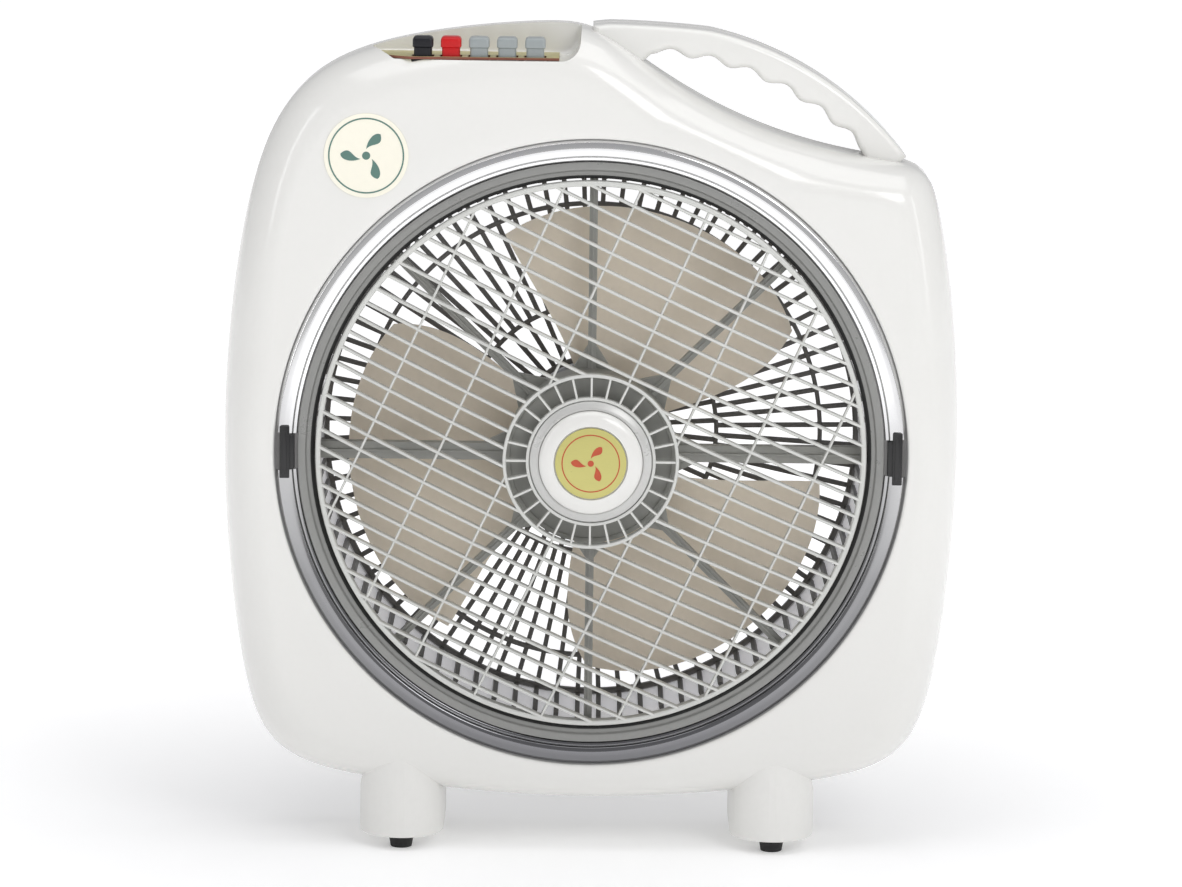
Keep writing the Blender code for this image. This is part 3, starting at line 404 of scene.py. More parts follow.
def combined(name, base, steps):
    """Apply a chain of (operation, mesh) Booleans to a mesh."""
    obj = helper(name, base)
    others = []
    for operation, mesh in steps:
        other = helper(name + "_tool", mesh)
        others.append(other)
        modifier = obj.modifiers.new(operation.lower(), "BOOLEAN")
        modifier.operation = operation
        modifier.solver = "EXACT"
        modifier.object = other
    bpy.context.view_layer.update()
    evaluated = obj.evaluated_get(bpy.context.evaluated_depsgraph_get())
    mesh = bpy.data.meshes.new_from_object(evaluated)
    mesh.name = name
    for used in (obj, *others):
        bpy.data.objects.remove(used)
    return mesh


def piece(name, mesh, finishes, nodes=(), body="housing", sharp=34):
    """A finished surface, from a mesh or bmesh: it rides a body and stands for CAD nodes."""
    if isinstance(mesh, bmesh.types.BMesh):
        mesh = finished_mesh(name, mesh)
    obj = bpy.data.objects.new(name, mesh)
    PIECES.objects.link(obj)
    for finish in finishes if isinstance(finishes, (list, tuple)) else (finishes,):
        mesh.materials.append(finish)
    mesh.shade_smooth()
    mesh.set_sharp_from_angle(angle=math.radians(sharp))
    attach(obj, body)
    if nodes:
        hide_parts(*nodes)
    return obj


def add_block(bm, x, d, z, edge=0.0):
    """A box between the (low, high) pairs, with rounded edges if edge is given."""
    low, high = (Vector(corner) for corner in zip(x, d, z))
    place = Matrix.Translation((low + high) / 2) @ Matrix.Diagonal((high - low).to_4d())
    made = bmesh.ops.create_cube(bm, size=1.0, matrix=place)
    if edge:
        edges = list({e for vert in made["verts"] for e in vert.link_edges})
        bmesh.ops.bevel(bm, geom=edges, offset=edge, segments=3, profile=0.5, affect="EDGES",
                        clamp_overlap=True)


def block_mesh(name, x, d, z):
    bm = bmesh.new()
    add_block(bm, x, d, z)
    return finished_mesh(name, bm)


def outline_normals(points):
    """Outward unit normals of an outline that runs anticlockwise."""
    normals = []
    for i, point in enumerate(points):
        before, after = Vector(points[i - 1]), Vector(points[(i + 1) % len(points)])
        along = (after - before).normalized()
        normals.append(Vector((along.y, -along.x)))
    return normals


def slab(bm, outline, low, high, place, low_round=0.0, high_round=0.0, steps=5):
    """A plate of an outline from low to high, its edges rounded on either side.

    place(across, along, level) puts a point of the plate in the world.
    """
    area = sum(p[0] * q[1] - q[0] * p[1] for p, q in zip(outline, outline[1:] + outline[:1]))
    points = outline if area > 0 else outline[::-1]
    normals = outline_normals(points)
    levels = []
    for edge, level, way in ((low_round, low, 1), (high_round, high, -1)):
        side = []
        for step in range(steps + 1 if edge else 1):
            bend = math.radians(90 * step / steps)
            side.append((edge * (1 - math.sin(bend)),
                         level + way * edge * (1 - math.cos(bend))))
        levels += side if way == 1 else side[::-1]
    rows = []
    for inset, level in levels:
        rows.append([place(p[0] - n.x * inset, p[1] - n.y * inset, level)
                     for p, n in zip(points, normals)])
    strip(bm, rows, ring_rows=False, ring_profile=True)


def upright(across, along, level):
    return Vector((across, level, along))


def lying(across, depth, level):
    return Vector((across, depth, level))


def arc_points(centre, radius, start, end, count):
    return [polar(radius, start + (end - start) * i / (count - 1), centre)
            for i in range(count)]


# Housing ---------------------------------------------------------------

def ray_to_circle(angle, centre, radius, near=False):
    """How far from the axis a ray meets a circle, or None where it misses."""
    along = centre[0] * math.cos(angle) + centre[1] * math.sin(angle)
    inside = along ** 2 - centre[0] ** 2 - centre[1] ** 2 + radius ** 2
    if inside < 0:
        return None
    return along - math.sqrt(inside) if near else along + math.sqrt(inside)


def full_outline(angle):
    """Radius of the housing's outline: four bulged sides with soft corners."""
    circles = (
        ((HALF_WIDTH - SIDE_RADIUS, 0), SIDE_RADIUS),
        ((SIDE_RADIUS - HALF_WIDTH, 0), SIDE_RADIUS),
        ((0, TOP_RISE - TOP_RADIUS), TOP_RADIUS),
        ((0, BOTTOM_RADIUS - BOTTOM_DROP), BOTTOM_RADIUS),
    )
    power = TOP_CORNER if math.sin(angle) > 0 else BOTTOM_CORNER
    total = sum(ray_to_circle(angle, centre, radius) ** -power for centre, radius in circles)
    return total ** (-1 / power)


def body_outline(angle):
    """The outline with its upper right shoulder hollowed under the handle."""
    radius = full_outline(angle)
    shoulder = ray_to_circle(angle, SHOULDER, SHOULDER_R, near=True)
    if shoulder is None or shoulder < 0:
        return radius
    total = radius ** -SHOULDER_POWER + shoulder ** -SHOULDER_POWER
    return total ** (-1 / SHOULDER_POWER)


def edge_curve(width, depth, steps):
    """(drawn in, depth) pairs round a soft edge, from its face to its side."""
    pairs = []
    for i in range(steps + 1):
        bend = math.radians(90 * i / steps)
        pairs.append((width * (1 - math.sin(bend)), depth * (1 - math.cos(bend))))
    return pairs


def soft_width(radius, wanted, least):
    return min(wanted, (radius - least) * 0.85)


def front_profile(radius):
    """Section of the front shell at an angle where the outline has this radius."""
    width = soft_width(radius, EDGE_ROUND, OPENING_R + 3)
    lip = 1.6
    points = [(radius - WALL, PARTING_D), (radius - 0.5, PARTING_D),
              (radius, PARTING_D - 0.5), (radius, PARTING_D - 10)]
    points += [(radius - inset, depth)
               for inset, depth in edge_curve(width, EDGE_DEPTH, 16)[::-1]]
    face = radius - width
    points += [(face + (OPENING_R + lip - face) * share, 0) for share in (0.25, 0.5, 0.75)]
    points += [(OPENING_R + inset, depth) for inset, depth in reversed(
        [(lip * (1 - math.cos(math.radians(a))), lip * (1 - math.sin(math.radians(a))))
         for a in (0, 22, 45, 67, 90)])]
    points += [(OPENING_R, TUBE_DEPTH), (OPENING_R + WALL, TUBE_DEPTH),
               (OPENING_R + WALL, WALL)]
    points += [(radius - inset - WALL, depth + WALL)
               for inset, depth in edge_curve(width, EDGE_DEPTH, 8)]
    return points


def rear_profile(radius):
    """Section of the rear shell at an angle where the outline has this radius."""
    width = soft_width(radius, REAR_ROUND, REAR_OPENING_R + 4)
    front, start = PARTING_D + SEAM, REAR_D - REAR_ROUND - 4
    rise = REAR_D - start
    points = [(radius - WALL, front), (radius - 0.5, front), (radius, front + 0.5)]
    points += [(radius - width + inset_back, REAR_D - depth_back) for inset_back, depth_back in
               [(width * math.cos(math.radians(a)), rise * (1 - math.sin(math.radians(a))))
                for a in range(0, 91, 6)]]
    face = radius - width
    points += [(face + (REAR_OPENING_R - face) * share, REAR_D) for share in (0.3, 0.6, 0.92)]
    points += [(REAR_OPENING_R + 0.5, REAR_D - 0.2), (REAR_OPENING_R, REAR_D - 0.8),
               (REAR_OPENING_R, REAR_D - WALL)]
    points += [(face - WALL, REAR_D - WALL)]
    points += [(radius - width - WALL + width * math.cos(math.radians(a)),
                REAR_D - WALL - (rise - WALL) * (1 - math.sin(math.radians(a))))
               for a in range(72, -1, -18)]
    return points


def shell_mesh(name, profile):
    bm = bmesh.new()
    rows = []
    for column in range(COLUMNS):
        degrees = 360 * column / COLUMNS
        radius = body_outline(math.radians(degrees))
        rows.append([round_axis(r, degrees, depth) for r, depth in profile(radius)])
    strip(bm, rows)
    return finished_mesh(name, bm)


def grip_point(degrees, radius):
    return polar(radius, degrees, GRIP_CENTRE)


def kept_inside(point, outline, margin):
    """The point, drawn towards the axis until it is inside the outline."""
    radius, angle = math.hypot(*point), math.atan2(point[1], point[0])
    radius = min(radius, outline(angle) - margin)
    return radius * math.cos(angle), radius * math.sin(angle)


def grip_outline():
    """The handle bar: outer edge, then back along the finger scallops."""
    outline = []
    for degrees in range(GRIP_START, GRIP_END + 1):
        outline.append(kept_inside(grip_point(degrees, GRIP_R), full_outline, 0.4))
    for degrees in (GRIP_END, (GRIP_END + HOLE_END) / 2, HOLE_END + 1.5):
        outline.append(kept_inside(grip_point(degrees, GRIP_R), body_outline, GRIP_ROOT))
    steps = 14 * SCALLOPS
    for i in range(steps + 1):
        share = i / steps
        wave = math.cos(2 * math.pi * SCALLOPS * share)
        radius = GRIP_R - GRIP_THICK - SCALLOP_RISE * wave
        outline.append(grip_point(HOLE_END + (HOLE_START - HOLE_END) * share, radius))
    for degrees in (HOLE_START - 2, GRIP_START):
        outline.append(kept_inside(grip_point(degrees, GRIP_R), body_outline, GRIP_ROOT))
    return outline


def grip_mesh(name, front, back, front_round, back_round):
    bm = bmesh.new()
    slab(bm, grip_outline(), front, back, upright, front_round, back_round)
    return finished_mesh(name, bm)


def outer_solid(name, inset):
    """The front half as a solid, a little inside its outer skin."""
    bm = bmesh.new()
    rows = []
    for drawn, depth in edge_curve(1.0, EDGE_DEPTH, 10) + [(0.0, PARTING_D)]:
        row = []
        for column in range(COLUMNS):
            degrees = 360 * column / COLUMNS
            radius = body_outline(math.radians(degrees))
            width = soft_width(radius, EDGE_ROUND, OPENING_R + 3)
            row.append(round_axis(radius - drawn * width - inset, degrees, depth + inset))
        rows.append(row)
    strip(bm, rows, ring_rows=False)
    return finished_mesh(name, bm)


def notch_mesh():
    """The control recess: a leaf-shaped pocket with a curved right wall."""
    corner = 12
    side = [(NOTCH_LEFT, ABOVE_ALL), (NOTCH_LEFT, NOTCH_FLOOR)]
    side += arc_points((NOTCH_RIGHT - corner, NOTCH_FLOOR + corner), corner, -90, -6, 15)
    side.append((NOTCH_RIGHT + 3, ABOVE_ALL))
    bm = bmesh.new()
    slab(bm, side, NOTCH_FRONT_D, NOTCH_REAR_D, upright, 0, 4)
    body = finished_mesh("notch_side", bm)
    plan = [(NOTCH_LEFT - 2, NOTCH_REAR_D + 1)]
    plan += arc_points(LOBE_CENTRE, NOTCH_LOBE, 180, 270, 30)
    plan += [(NOTCH_RIGHT + 9, NOTCH_FRONT_D), (NOTCH_RIGHT + 9, NOTCH_REAR_D + 1)]
    bm = bmesh.new()
    slab(bm, plan, NOTCH_FLOOR - 20, NOTCH_FLOOR + 100, lying)
    return combined("notch", body, [("INTERSECT", finished_mesh("notch_plan", bm))])


def key_x(index):
    return KEY_FIRST_X + KEY_PITCH * index


def key_ways(name, spare):
    """Openings that the keys pass through, well past the floor of the notch both ways."""
    bm = bmesh.new()
    half, reach = KEY_WIDTH / 2 + spare, KEY_LENGTH / 2 + spare
    for index in range(len(KEYS)):
        x = key_x(index)
        add_block(bm, (x - half, x + half), (KEY_D - reach, KEY_D + reach), KEY_WAY_HEIGHTS, 0.8)
    return finished_mesh(name, bm)


def screw_places():
    """Six (x, z) places round the rear face, midway between opening and edge."""
    places = []
    for degrees in (45, 90, 135, 225, 270, 315):
        radius = (REAR_OPENING_R + body_outline(math.radians(degrees)) - REAR_ROUND) / 2
        places.append(polar(radius, degrees))
    return places


def make_front_shell():
    panel = combined("panel", outer_solid("panel_solid", 1.0), [
        ("INTERSECT", block_mesh("panel_block", (NOTCH_LEFT - 9, NOTCH_RIGHT + 7),
                                 (-5, NOTCH_REAR_D + 4), (NOTCH_FLOOR - 3.2, ABOVE_ALL)))])
    mesh = combined("front_housing", shell_mesh("front_skin", front_profile), [
        ("UNION", panel),
        ("UNION", grip_mesh("grip_front", GRIP_FRONT_D, PARTING_D - 0.3, GRIP_EDGE, 0.5)),
        ("DIFFERENCE", notch_mesh()),
        ("DIFFERENCE", key_ways("key_ways", 0.8)),
    ])
    piece("front_housing", mesh, WHITE, ["front_shell"])


def make_rear_shell():
    tools = [("UNION", grip_mesh("grip_rear", PARTING_D + 0.6, GRIP_REAR_D, 0.5, GRIP_EDGE))]
    for x, z in screw_places():
        hole = turned("screw_hole", [(0, 90), (2.4, 90), (2.4, 110), (0, 110)], 24, None, x, z)
        tools.append(("DIFFERENCE", hole))
    cord_hole = turned("cord_hole", [(0, 90), (6.3, 90), (6.3, 110),
                                     (0, 110)], 32, None, *GROMMET)
    tools.append(("DIFFERENCE", cord_hole))
    mesh = combined("rear_housing", shell_mesh("rear_skin", rear_profile), tools)
    piece("rear_housing", mesh, WHITE, ["rear_shell"])


def screw_mesh(name, x, z, head_d, reach):
    """Pan-head screw with a cross recess."""
    profile = [(0, head_d - reach), (2, head_d - reach), (2, head_d)]
    profile += fillet([(2, head_d), (4, head_d), (3.7, head_d + 1.4), (2.4, head_d + 2.1),
                       (0, head_d + 2.2)], 0.5, False)[1:]
    head = turned(name, profile, 32, None, x, z)
    tools = []
    for wide, tall in ((0.5, 2.2), (2.2, 0.5)):
        tools.append(("DIFFERENCE", block_mesh(
            name + "_slot", (x - wide, x + wide), (head_d + 0.9, head_d + 4),
            (z - tall, z + tall))))
    return combined(name, head, tools)


def motor_screw_place(index):
    return polar(MOTOR_SCREW_R, 90 + 120 * index)


def make_screws():
    for index, (x, z) in enumerate(screw_places()):
        mesh = screw_mesh("housing_screw", x, z, REAR_D + SEAM, 10)
        piece(f"housing_screw_{index + 1}", mesh, STEEL, [f"shell_screw_{index + 1}"])
    face = MOTOR_REAR_D + PLATE_DEPTH + 2 * SEAM
    for index in range(3):
        mesh = screw_mesh("motor_plate_screw", *motor_screw_place(index), face, 5)
        piece(f"motor_plate_screw_{index + 1}", mesh, STEEL,
              [f"motor_screw_{index + 1}"])


def make_grommet():
    profile = fillet([(3.5, 92), (8, 92), (8, 97.3), (6, 97.3), (6, 101), (7.4, 101),
                      (6.2, 106), (3.5, 106)], 0.6)
    mesh = turned("cord_bush", profile, 48, None, *GROMMET)
    piece("cord_bush", mesh, RUBBER, ["cord_grommet"])


# Ring, carrier, louvre -------------------------------------------------

def make_trim():
    profile = fillet([(TRIM_IN_R, 9), (TRIM_IN_R, 4.6), (181.2, 4.0), (182.2, 4.0),
                      (182.9, 2.4), (185, 1.75), (188, 1.65), (191, 2.1), (192.6, 3.2),
                      (TRIM_OUT_R, 4.6), (TRIM_OUT_R, 6)], 0.7)
    gap = math.degrees(math.asin(TRIM_GAP_HALF / TRIM_IN_R))
    for name, node, start in (("bright_ring_upper", "chrome_trim_upper", gap),
                              ("bright_ring_lower", "chrome_trim_lower", 180 + gap)):
        mesh = turned(name, profile, 150, (start, start + 180 - 2 * gap))
        piece(name, mesh, CHROME, [node])
    for name, node, side in (("ring_clip_left", "trim_clip_left", -1),
                             ("ring_clip_right", "trim_clip_right", 1)):
        bm = bmesh.new()
        for reach, d, tall in (((181.2, 187), (-0.6, 8), 10.6), ((184, 190), (-1.4, 1.2), 16),
                               ((185.4, 188.6), (-1.9, 0), 13)):
            add_block(bm, sorted(side * r for r in reach), d, (-tall, tall), 0.5)
        piece(name, bm, CLIP_BLACK, [node])


def rod(bm, start, end, wide, deep, edge, level, bend=None, steps=1, angle=0.0, offset=0.0):
    """A bar in the plane of the fan, with rounded edges, along start..end.

    level is the depth of its front, plus bend(radius) if given; angle turns it.
    """
    half = wide / 2
    section = fillet([(-half, 0), (half, 0), (half, deep), (-half, deep)], edge, True, 2)
    turned_by = math.radians(angle)
    cosine, sine = math.cos(turned_by), math.sin(turned_by)
    rows = []
    for i in range(steps + 1):
        along = start + (end - start) * i / steps
        row = []
        for side, depth in section:
            up = offset + side
            front = bend(math.hypot(along, offset)) if bend else 0.0
            row.append(Vector((along * cosine - up * sine, level + front + depth,
                               along * sine + up * cosine)))
        rows.append(row)
    strip(bm, rows, ring_rows=False)


def make_carrier():
    inner = LOUVRE_R + 1
    bm = bmesh.new()
    turn(bm, fillet([(inner, 7), (inner + 1.4, 5.2), (inner + 2.4, 4.6), (inner + 4.6, 4.6),
                     (inner + 5.4, 3.2), (CARRIER_R, 3.2), (CARRIER_R, 22), (inner, 22)], 0.6))
    bezel = piece("carrier_bezel", bm, [BEZEL, SHADOW_GAP])
    # Painted shadow: the faces of the bezel next to the gap round the louvre are coloured near
    # black.
    for polygon in bezel.data.polygons:
        if math.hypot(polygon.center.x, polygon.center.z - AXIS_Z) < (inner + GAP_WIDTH) * MM:
            polygon.material_index = 1
    bm = bmesh.new()
    back = ARM_D + ARM_DEPTH + 2
    turn(bm, fillet([(CUP_R - 3, -11), (CUP_R, -11), (CUP_R, back), (4, back), (4, back - 3),
                     (CUP_R - 3, back - 3)], 0.7), 128)
    turn(bm, fillet([(12, -9), (30, -9), (CUP_R - 2, -10), (CUP_R - 2, -6.5),
                     (12, -6.5)], 0.7), 128)
    start, end = CUP_R - 1, inner + 3
    for index in range(8):
        wide = (10.6 if index in (0, 4) else 5)
        angle = 45 * index
        rod(bm, start, end, wide, ARM_DEPTH, 0.6, ARM_D, None, 2, angle)
        rod(bm, start, end, 1.3, 3, 0.4, ARM_D - 1.6, None, 2, angle)
        web = [(CUP_R - 2, -13), (CUP_R + 14, -wide / 2),
               (CUP_R + 14, wide / 2), (CUP_R - 2, 13)]
        turn_by = math.radians(angle)
        flare = [(a * math.cos(turn_by) - u * math.sin(turn_by),
                  a * math.sin(turn_by) + u * math.cos(turn_by)) for a, u in web]
        slab(bm, flare, ARM_D + 2, ARM_D + ARM_DEPTH - 0.5, upright, 0.4, 0.4, 2)
    piece("louvre_spider", bm, GREY,
          ["louvre_carrier"])


def dome(radius):
    """Depth of the louvre's front at a radius: it stands out in the middle."""
    span = LOUVRE_R ** 2 - INNER_RING_R ** 2
    return -1 - DOME_RISE * (1 - (radius ** 2 - INNER_RING_R ** 2) / span)


def make_louvre():
    bm = bmesh.new()
    turn(bm, fillet([(LOUVRE_R - 3.2, -1.2), (LOUVRE_R - 2.4, -1.6), (LOUVRE_R - 0.6, -1.6),
                     (LOUVRE_R, -0.6), (LOUVRE_R, 7.4), (LOUVRE_R - 3.2, 7.4)], 0.5))
    front = dome(INNER_RING_R) - 0.4
    turn(bm, fillet([(INNER_RING_R - 2.0, front), (INNER_RING_R, front),
                     (INNER_RING_R, front + 9), (INNER_RING_R - 2.0, front + 9)], 0.6), 144)
    turn(bm, fillet([(HUB_R + 0.3, front), (HUB_R + 2.2, front), (HUB_R + 2.2, front + 7),
                     (HUB_R + 0.3, front + 7)], 0.5), 128)
    outer, inner = LOUVRE_R - 2, INNER_RING_R - 1
    families = (
        (LOUVRE_TILT, SLATS, SLAT_PITCH, 1.7, 7, 0.0),
        (LOUVRE_TILT + 90, BARS, BAR_PITCH, 1.5, 5.4, 0.8),
    )
    for tilt, count, pitch, wide, deep, drop in families:
        for index in range(count):
            offset = (index - (count - 1) / 2) * pitch
            end = math.sqrt(outer ** 2 - offset ** 2)
            spans = [(-end, end)]
            if abs(offset) < inner:
                start = math.sqrt(inner ** 2 - offset ** 2)
                spans = [(-end, -start), (start, end)]
            for low, high in spans:
                rod(bm, low, high, wide, deep, 0.65, drop, dome, 14, tilt, offset)
    for index in range(SPOKES):
        rod(bm, HUB_R + 1.4, INNER_RING_R - 1, 1.3, 5.5, 0.4,
            front + 0.6, None, 1, 360 * index / SPOKES - 90)
    piece("louvre_blades", bm, SILVER,
          ["louvre_grille"], "louvre")


def fan_mark(bm, face, x0=0.0, z0=0.0, size=1.0):
    """A plain three-leaf fan in a ring, just proud of a face, in material 1."""
    plain = len(bm.faces)
    front, back = face - 0.12, face + 0.3
    for index in range(3):
        base = 90 + 120 * index
        leaf = []
        for i in range(17):
            t = i / 16
            leaf.append((base - 34 * t, 3 * size + 9 * size * math.sin(math.pi * t / 2)))
        for i in range(15, 0, -1):
            t = i / 16
            leaf.append((base - 34 * t - 26 * math.sin(math.pi * t), 3 * size + 9 * size * t))
        slab(bm, [polar(r, a, (x0, z0)) for a, r in leaf], front, back, upright)
    turn(bm, [(0, front), (1.9 * size, front), (1.9 * size, back), (0, back)], 32, None, x0, z0)
    turn(bm, [(17.0 * size, front), (17.7 * size, front), (17.7 * size, back),
              (17.0 * size, back)], 128, None, x0, z0)
    bm.faces.ensure_lookup_table()
    for polygon in bm.faces[plain:]:
        polygon.material_index = 1


def make_louvre_hub():
    face = dome(INNER_RING_R) - 2
    profile = fillet([(0, face + 4), (31.7, face + 4), (31.7, face + 0.2), (32.2, face),
                      (33.4, face + 0.1), (36.6, face + 1.8), (HUB_R, face + 2.4),
                      (HUB_R, face + 8), (10, face + 8), (10, face + 13), (3.3, face + 13),
                      (3.3, face + 6), (0, face + 6)], 0.5, False)
    piece("hub_collar", turned("hub_collar", profile, 144), HUB_GREY,
          ["louvre_hub"], "louvre")
    back = face + 4 - SEAM
    profile = [(0, face - 3.4), (22, face - 3.4), (22.3, face - 4.4)]
    for i in range(13):
        bend = math.radians(i * 7.5)
        profile.append((22.6 + 8.9 * math.sin(bend), face - 5.2 + 4.4 * (1 - math.cos(bend))))
    profile += [(31.5, back), (0, back)]
    piece("hub_cover", turned("hub_cover", profile, 144), WHITE,
          ["hub_cap"], "louvre", 50)
    bm = bmesh.new()
    top = face - 4.7
    turn(bm, fillet([(0, top), (21.6, top), (21.6, face - 3.4 - SEAM),
                     (0, face - 3.4 - SEAM)], 0.3, False), 128)
    fan_mark(bm, top)
    piece("hub_emblem", bm, [BADGE, BADGE_RED],
          ["hub_badge"], "louvre")


# Fan, motor, rear grille -----------------------------------------------

def make_fan():
    bm = bmesh.new()
    turn(bm, fillet([(SHAFT_R + 0.3, 25), (22, 25), (BLADE_HUB_R, 31), (BLADE_HUB_R, 58),
                     (27.6, 58), (27.6, 33), (9, 31), (9, 54), (SHAFT_R + 0.3, 54)], 1.2), 96)
    rows, columns, thick = 30, 28, 2.0
    for index in range(BLADES):
        middle = BLADE_FIRST_GAP + 180 / BLADES + 360 / BLADES * index
        sides = []
        for side in (-1, 1):
            grid = []
            for row in range(rows + 1):
                share = row / rows
                radius = BLADE_HUB_R - 1 + (BLADE_R - BLADE_HUB_R + 1) * share
                spread_by = 0.72 + 0.34 * math.sin(math.pi * (0.18 + 0.5 * share))
                half_span = BLADE_SPAN / 2 * spread_by
                sweep = 10 * share ** 1.5 - 4
                line = []
                for column in range(columns + 1):
                    along = 2 * column / columns - 1
                    tip = 1 - 0.05 * share ** 3 * abs(along) ** 3
                    rise = (BLADE_BACK_D - BLADE_FRONT_D - 4) * (0.5 - 0.5 * along)
                    bow = 3.5 * math.cos(math.pi * along / 2)
                    rim = min(1 - share, (1 - abs(along)) * 2.5) / 0.06
                    half = thick / 2 * math.sqrt(min(1.0, max(rim, 0.0)) * 0.85 + 0.15)
                    line.append(round_axis(radius * tip, middle + sweep + half_span * along,
                                           BLADE_FRONT_D + 2 + rise - bow * share
                                           + side * half))
                grid.append(line)
            sides.append(grid)
        front, back = ([[bm.verts.new(p) for p in line] for line in grid] for grid in sides)
        for grid in (front, back):
            for line, following in zip(grid, grid[1:]):
                for c in range(columns):
                    bm.faces.new((line[c], line[c + 1], following[c + 1], following[c]))
        rims = [(front[0], back[0]), (front[-1], back[-1]),
                ([line[0] for line in front], [line[0] for line in back]),
                ([line[-1] for line in front], [line[-1] for line in back])]
        for first, second in rims:
            for a, b, c, d in zip(first, first[1:], second[1:], second):
                bm.faces.new((a, b, c, d))
    piece("fan_impeller", bm, TAUPE,
          ["fan_blade"], "fan_rotor")


def make_motor():
    inner, bore = MOTOR_R - 2, SHAFT_R + 4.2
    front, rear = MOTOR_FRONT_D, MOTOR_REAR_D
    cover = [(bore, front), (18, front), (22, front + 3),
             (MOTOR_R - 5, front + 3), (MOTOR_R, front + 8),
             (MOTOR_R, front + 13.5), (inner, front + 13.5), (inner, front + 8.6),
             (MOTOR_R - 6, front + 5), (20, front + 5),
             (14, front + 7), (bore, front + 7)]
    piece("motor_cap_front", turned("motor_cap_front", fillet(cover, 1), 96), STEEL,
          ["motor_front_cover"])
    cover = [(0, rear - 2.4), (bore, rear - 2.4), (bore, rear - 9),
             (bore + 3, rear - 9), (bore + 3, rear - 2.4),
             (MOTOR_R - 5, rear - 2.4), (inner, rear - 6),
             (inner, rear - 13.5), (MOTOR_R, rear - 13.5), (MOTOR_R, rear - 5),
             (MOTOR_R - 4, rear), (0, rear)]
    piece("motor_cap_rear", turned("motor_cap_rear", fillet(cover, 1, False), 96), STEEL,
          ["motor_rear_cover"])


def grille_depth(radius):
    """Depth of the dished ribs: a cone from the rim in to the motor's plate."""
    share = (GRILLE_R - radius) / (GRILLE_R - PLATE_R)
    return GRILLE_RIM_D + 2 + GRILLE_RISE * share


def make_rear_grille():
    bm = bmesh.new()
    rim_in = GRILLE_R - 3.4
    turn(bm, fillet([(rim_in, GRILLE_RIM_D), (GRILLE_R, GRILLE_RIM_D),
                     (GRILLE_R, GRILLE_RIM_D + 6.5), (rim_in, GRILLE_RIM_D + 6.5)], 1.2))
    for radius in GRILLE_RINGS:
        depth = grille_depth(radius) - 0.6
        turn(bm, fillet([(radius - 1.4, depth), (radius + 1.4, depth),
                         (radius + 1.4, depth + 4.6), (radius - 1.4, depth + 4.6)], 0.9))
    front = MOTOR_REAR_D + 0.3
    back = front + PLATE_DEPTH
    turn(bm, fillet([(0, front), (PLATE_R, front), (PLATE_R, back), (40, back),
                     (39, back - 1.2), (32, back - 1.2), (31, back), (12, back),
                     (11, back - 1.6), (0, back - 1.6)], 0.8, False), 128)
    for index in range(3):
        turn(bm, fillet([(2.3, back - 2), (6, back - 2), (6, back), (2.3, back)], 0.4), 32,
             None, *motor_screw_place(index))
    for count, low, high in ((OUTER_RIBS, GRILLE_RINGS[0], GRILLE_R - 3),
                             (INNER_RIBS, PLATE_R - 2, GRILLE_RINGS[0])):
        for index in range(count):
            rod(bm, low, high, RIB_WIDTH, RIB_DEPTH, 0.8, 0.0, grille_depth, 6,
                360 * (index + 0.5) / count)
    piece("rear_guard", bm, CHARCOAL,
          ["rear_grille"])


def make_duct():
    """The white wall round the blades, with a rib standing on it at each rib of the guard."""
    bm = bmesh.new()
    turn(bm, [(DUCT_IN_R, DUCT_FRONT_D), (DUCT_OUT_R, DUCT_FRONT_D),
              (DUCT_OUT_R, DUCT_BACK_D), (DUCT_IN_R, DUCT_BACK_D)])
    piece("air_duct", bm, DUCT_WHITE)
    bm = bmesh.new()
    half = math.degrees(RIB_WIDTH / 2 / DUCT_IN_R)
    for index in range(OUTER_RIBS):
        middle = 360 * (index + 0.5) / OUTER_RIBS
        turn(bm, fillet([(GRILLE_R - 1, DUCT_FRONT_D + 4), (DUCT_IN_R, DUCT_FRONT_D + 4),
                         (DUCT_IN_R, GRILLE_RIM_D), (GRILLE_R - 1, GRILLE_RIM_D)], 0.5),
             4, (middle - half, middle + half))
    piece("duct_ribs", bm, CHARCOAL)


# Controls, emblem, feet ------------------------------------------------

def rounded_rectangle(half_x, half_d, corner, x, d):
    points = []
    for sx, sd, start in ((1, 1, 0), (-1, 1, 90), (-1, -1, 180), (1, -1, 270)):
        centre = (x + sx * (half_x - corner), d + sd * (half_d - corner))
        points += arc_points(centre, corner, start, start + 90, 6)
    return points


def make_keys():
    foil_top = NOTCH_FLOOR + SEAM + PANEL_THICK
    top, bottom = foil_top + KEY_RISE, foil_top - KEY_SINK
    finishes = ((BLACK, "key_black"), (RED, "key_red"), (KEY_GREY, "key_grey"),
                (KEY_GREY, "key_grey"), (KEY_GREY, "key_grey"))
    crown, stem, skirt = 2.6, 0.8, 7
    for index, (node, (finish, slot)) in enumerate(zip(KEYS, finishes)):
        rows = []
        levels = [(stem, bottom), (stem, top - skirt), (0, top - skirt + stem),
                  (0, top - crown)]
        for i in range(1, 7):
            bend = math.radians(15 * i)
            levels.append((crown * (1 - math.cos(bend)) * 0.9,
                           top - crown * (1 - math.sin(bend))))
        for inset, level in levels:
            loop = rounded_rectangle(KEY_WIDTH / 2 - inset, KEY_LENGTH / 2 - inset, 1.7,
                                     key_x(index), KEY_D)
            rows.append([lying(x, d, level) for x, d in loop])
        bm = bmesh.new()
        strip(bm, rows, ring_rows=False)
        # A shallow bar across the top gives the finger something to find.
        add_block(bm, (key_x(index) - 3.4, key_x(index) + 3.4), (KEY_D + 2.2, KEY_D + 3.2),
                  (top - 1.2, top - 0.02), 0.3)
        piece("cap_" + node, bm, finish, [node], node)


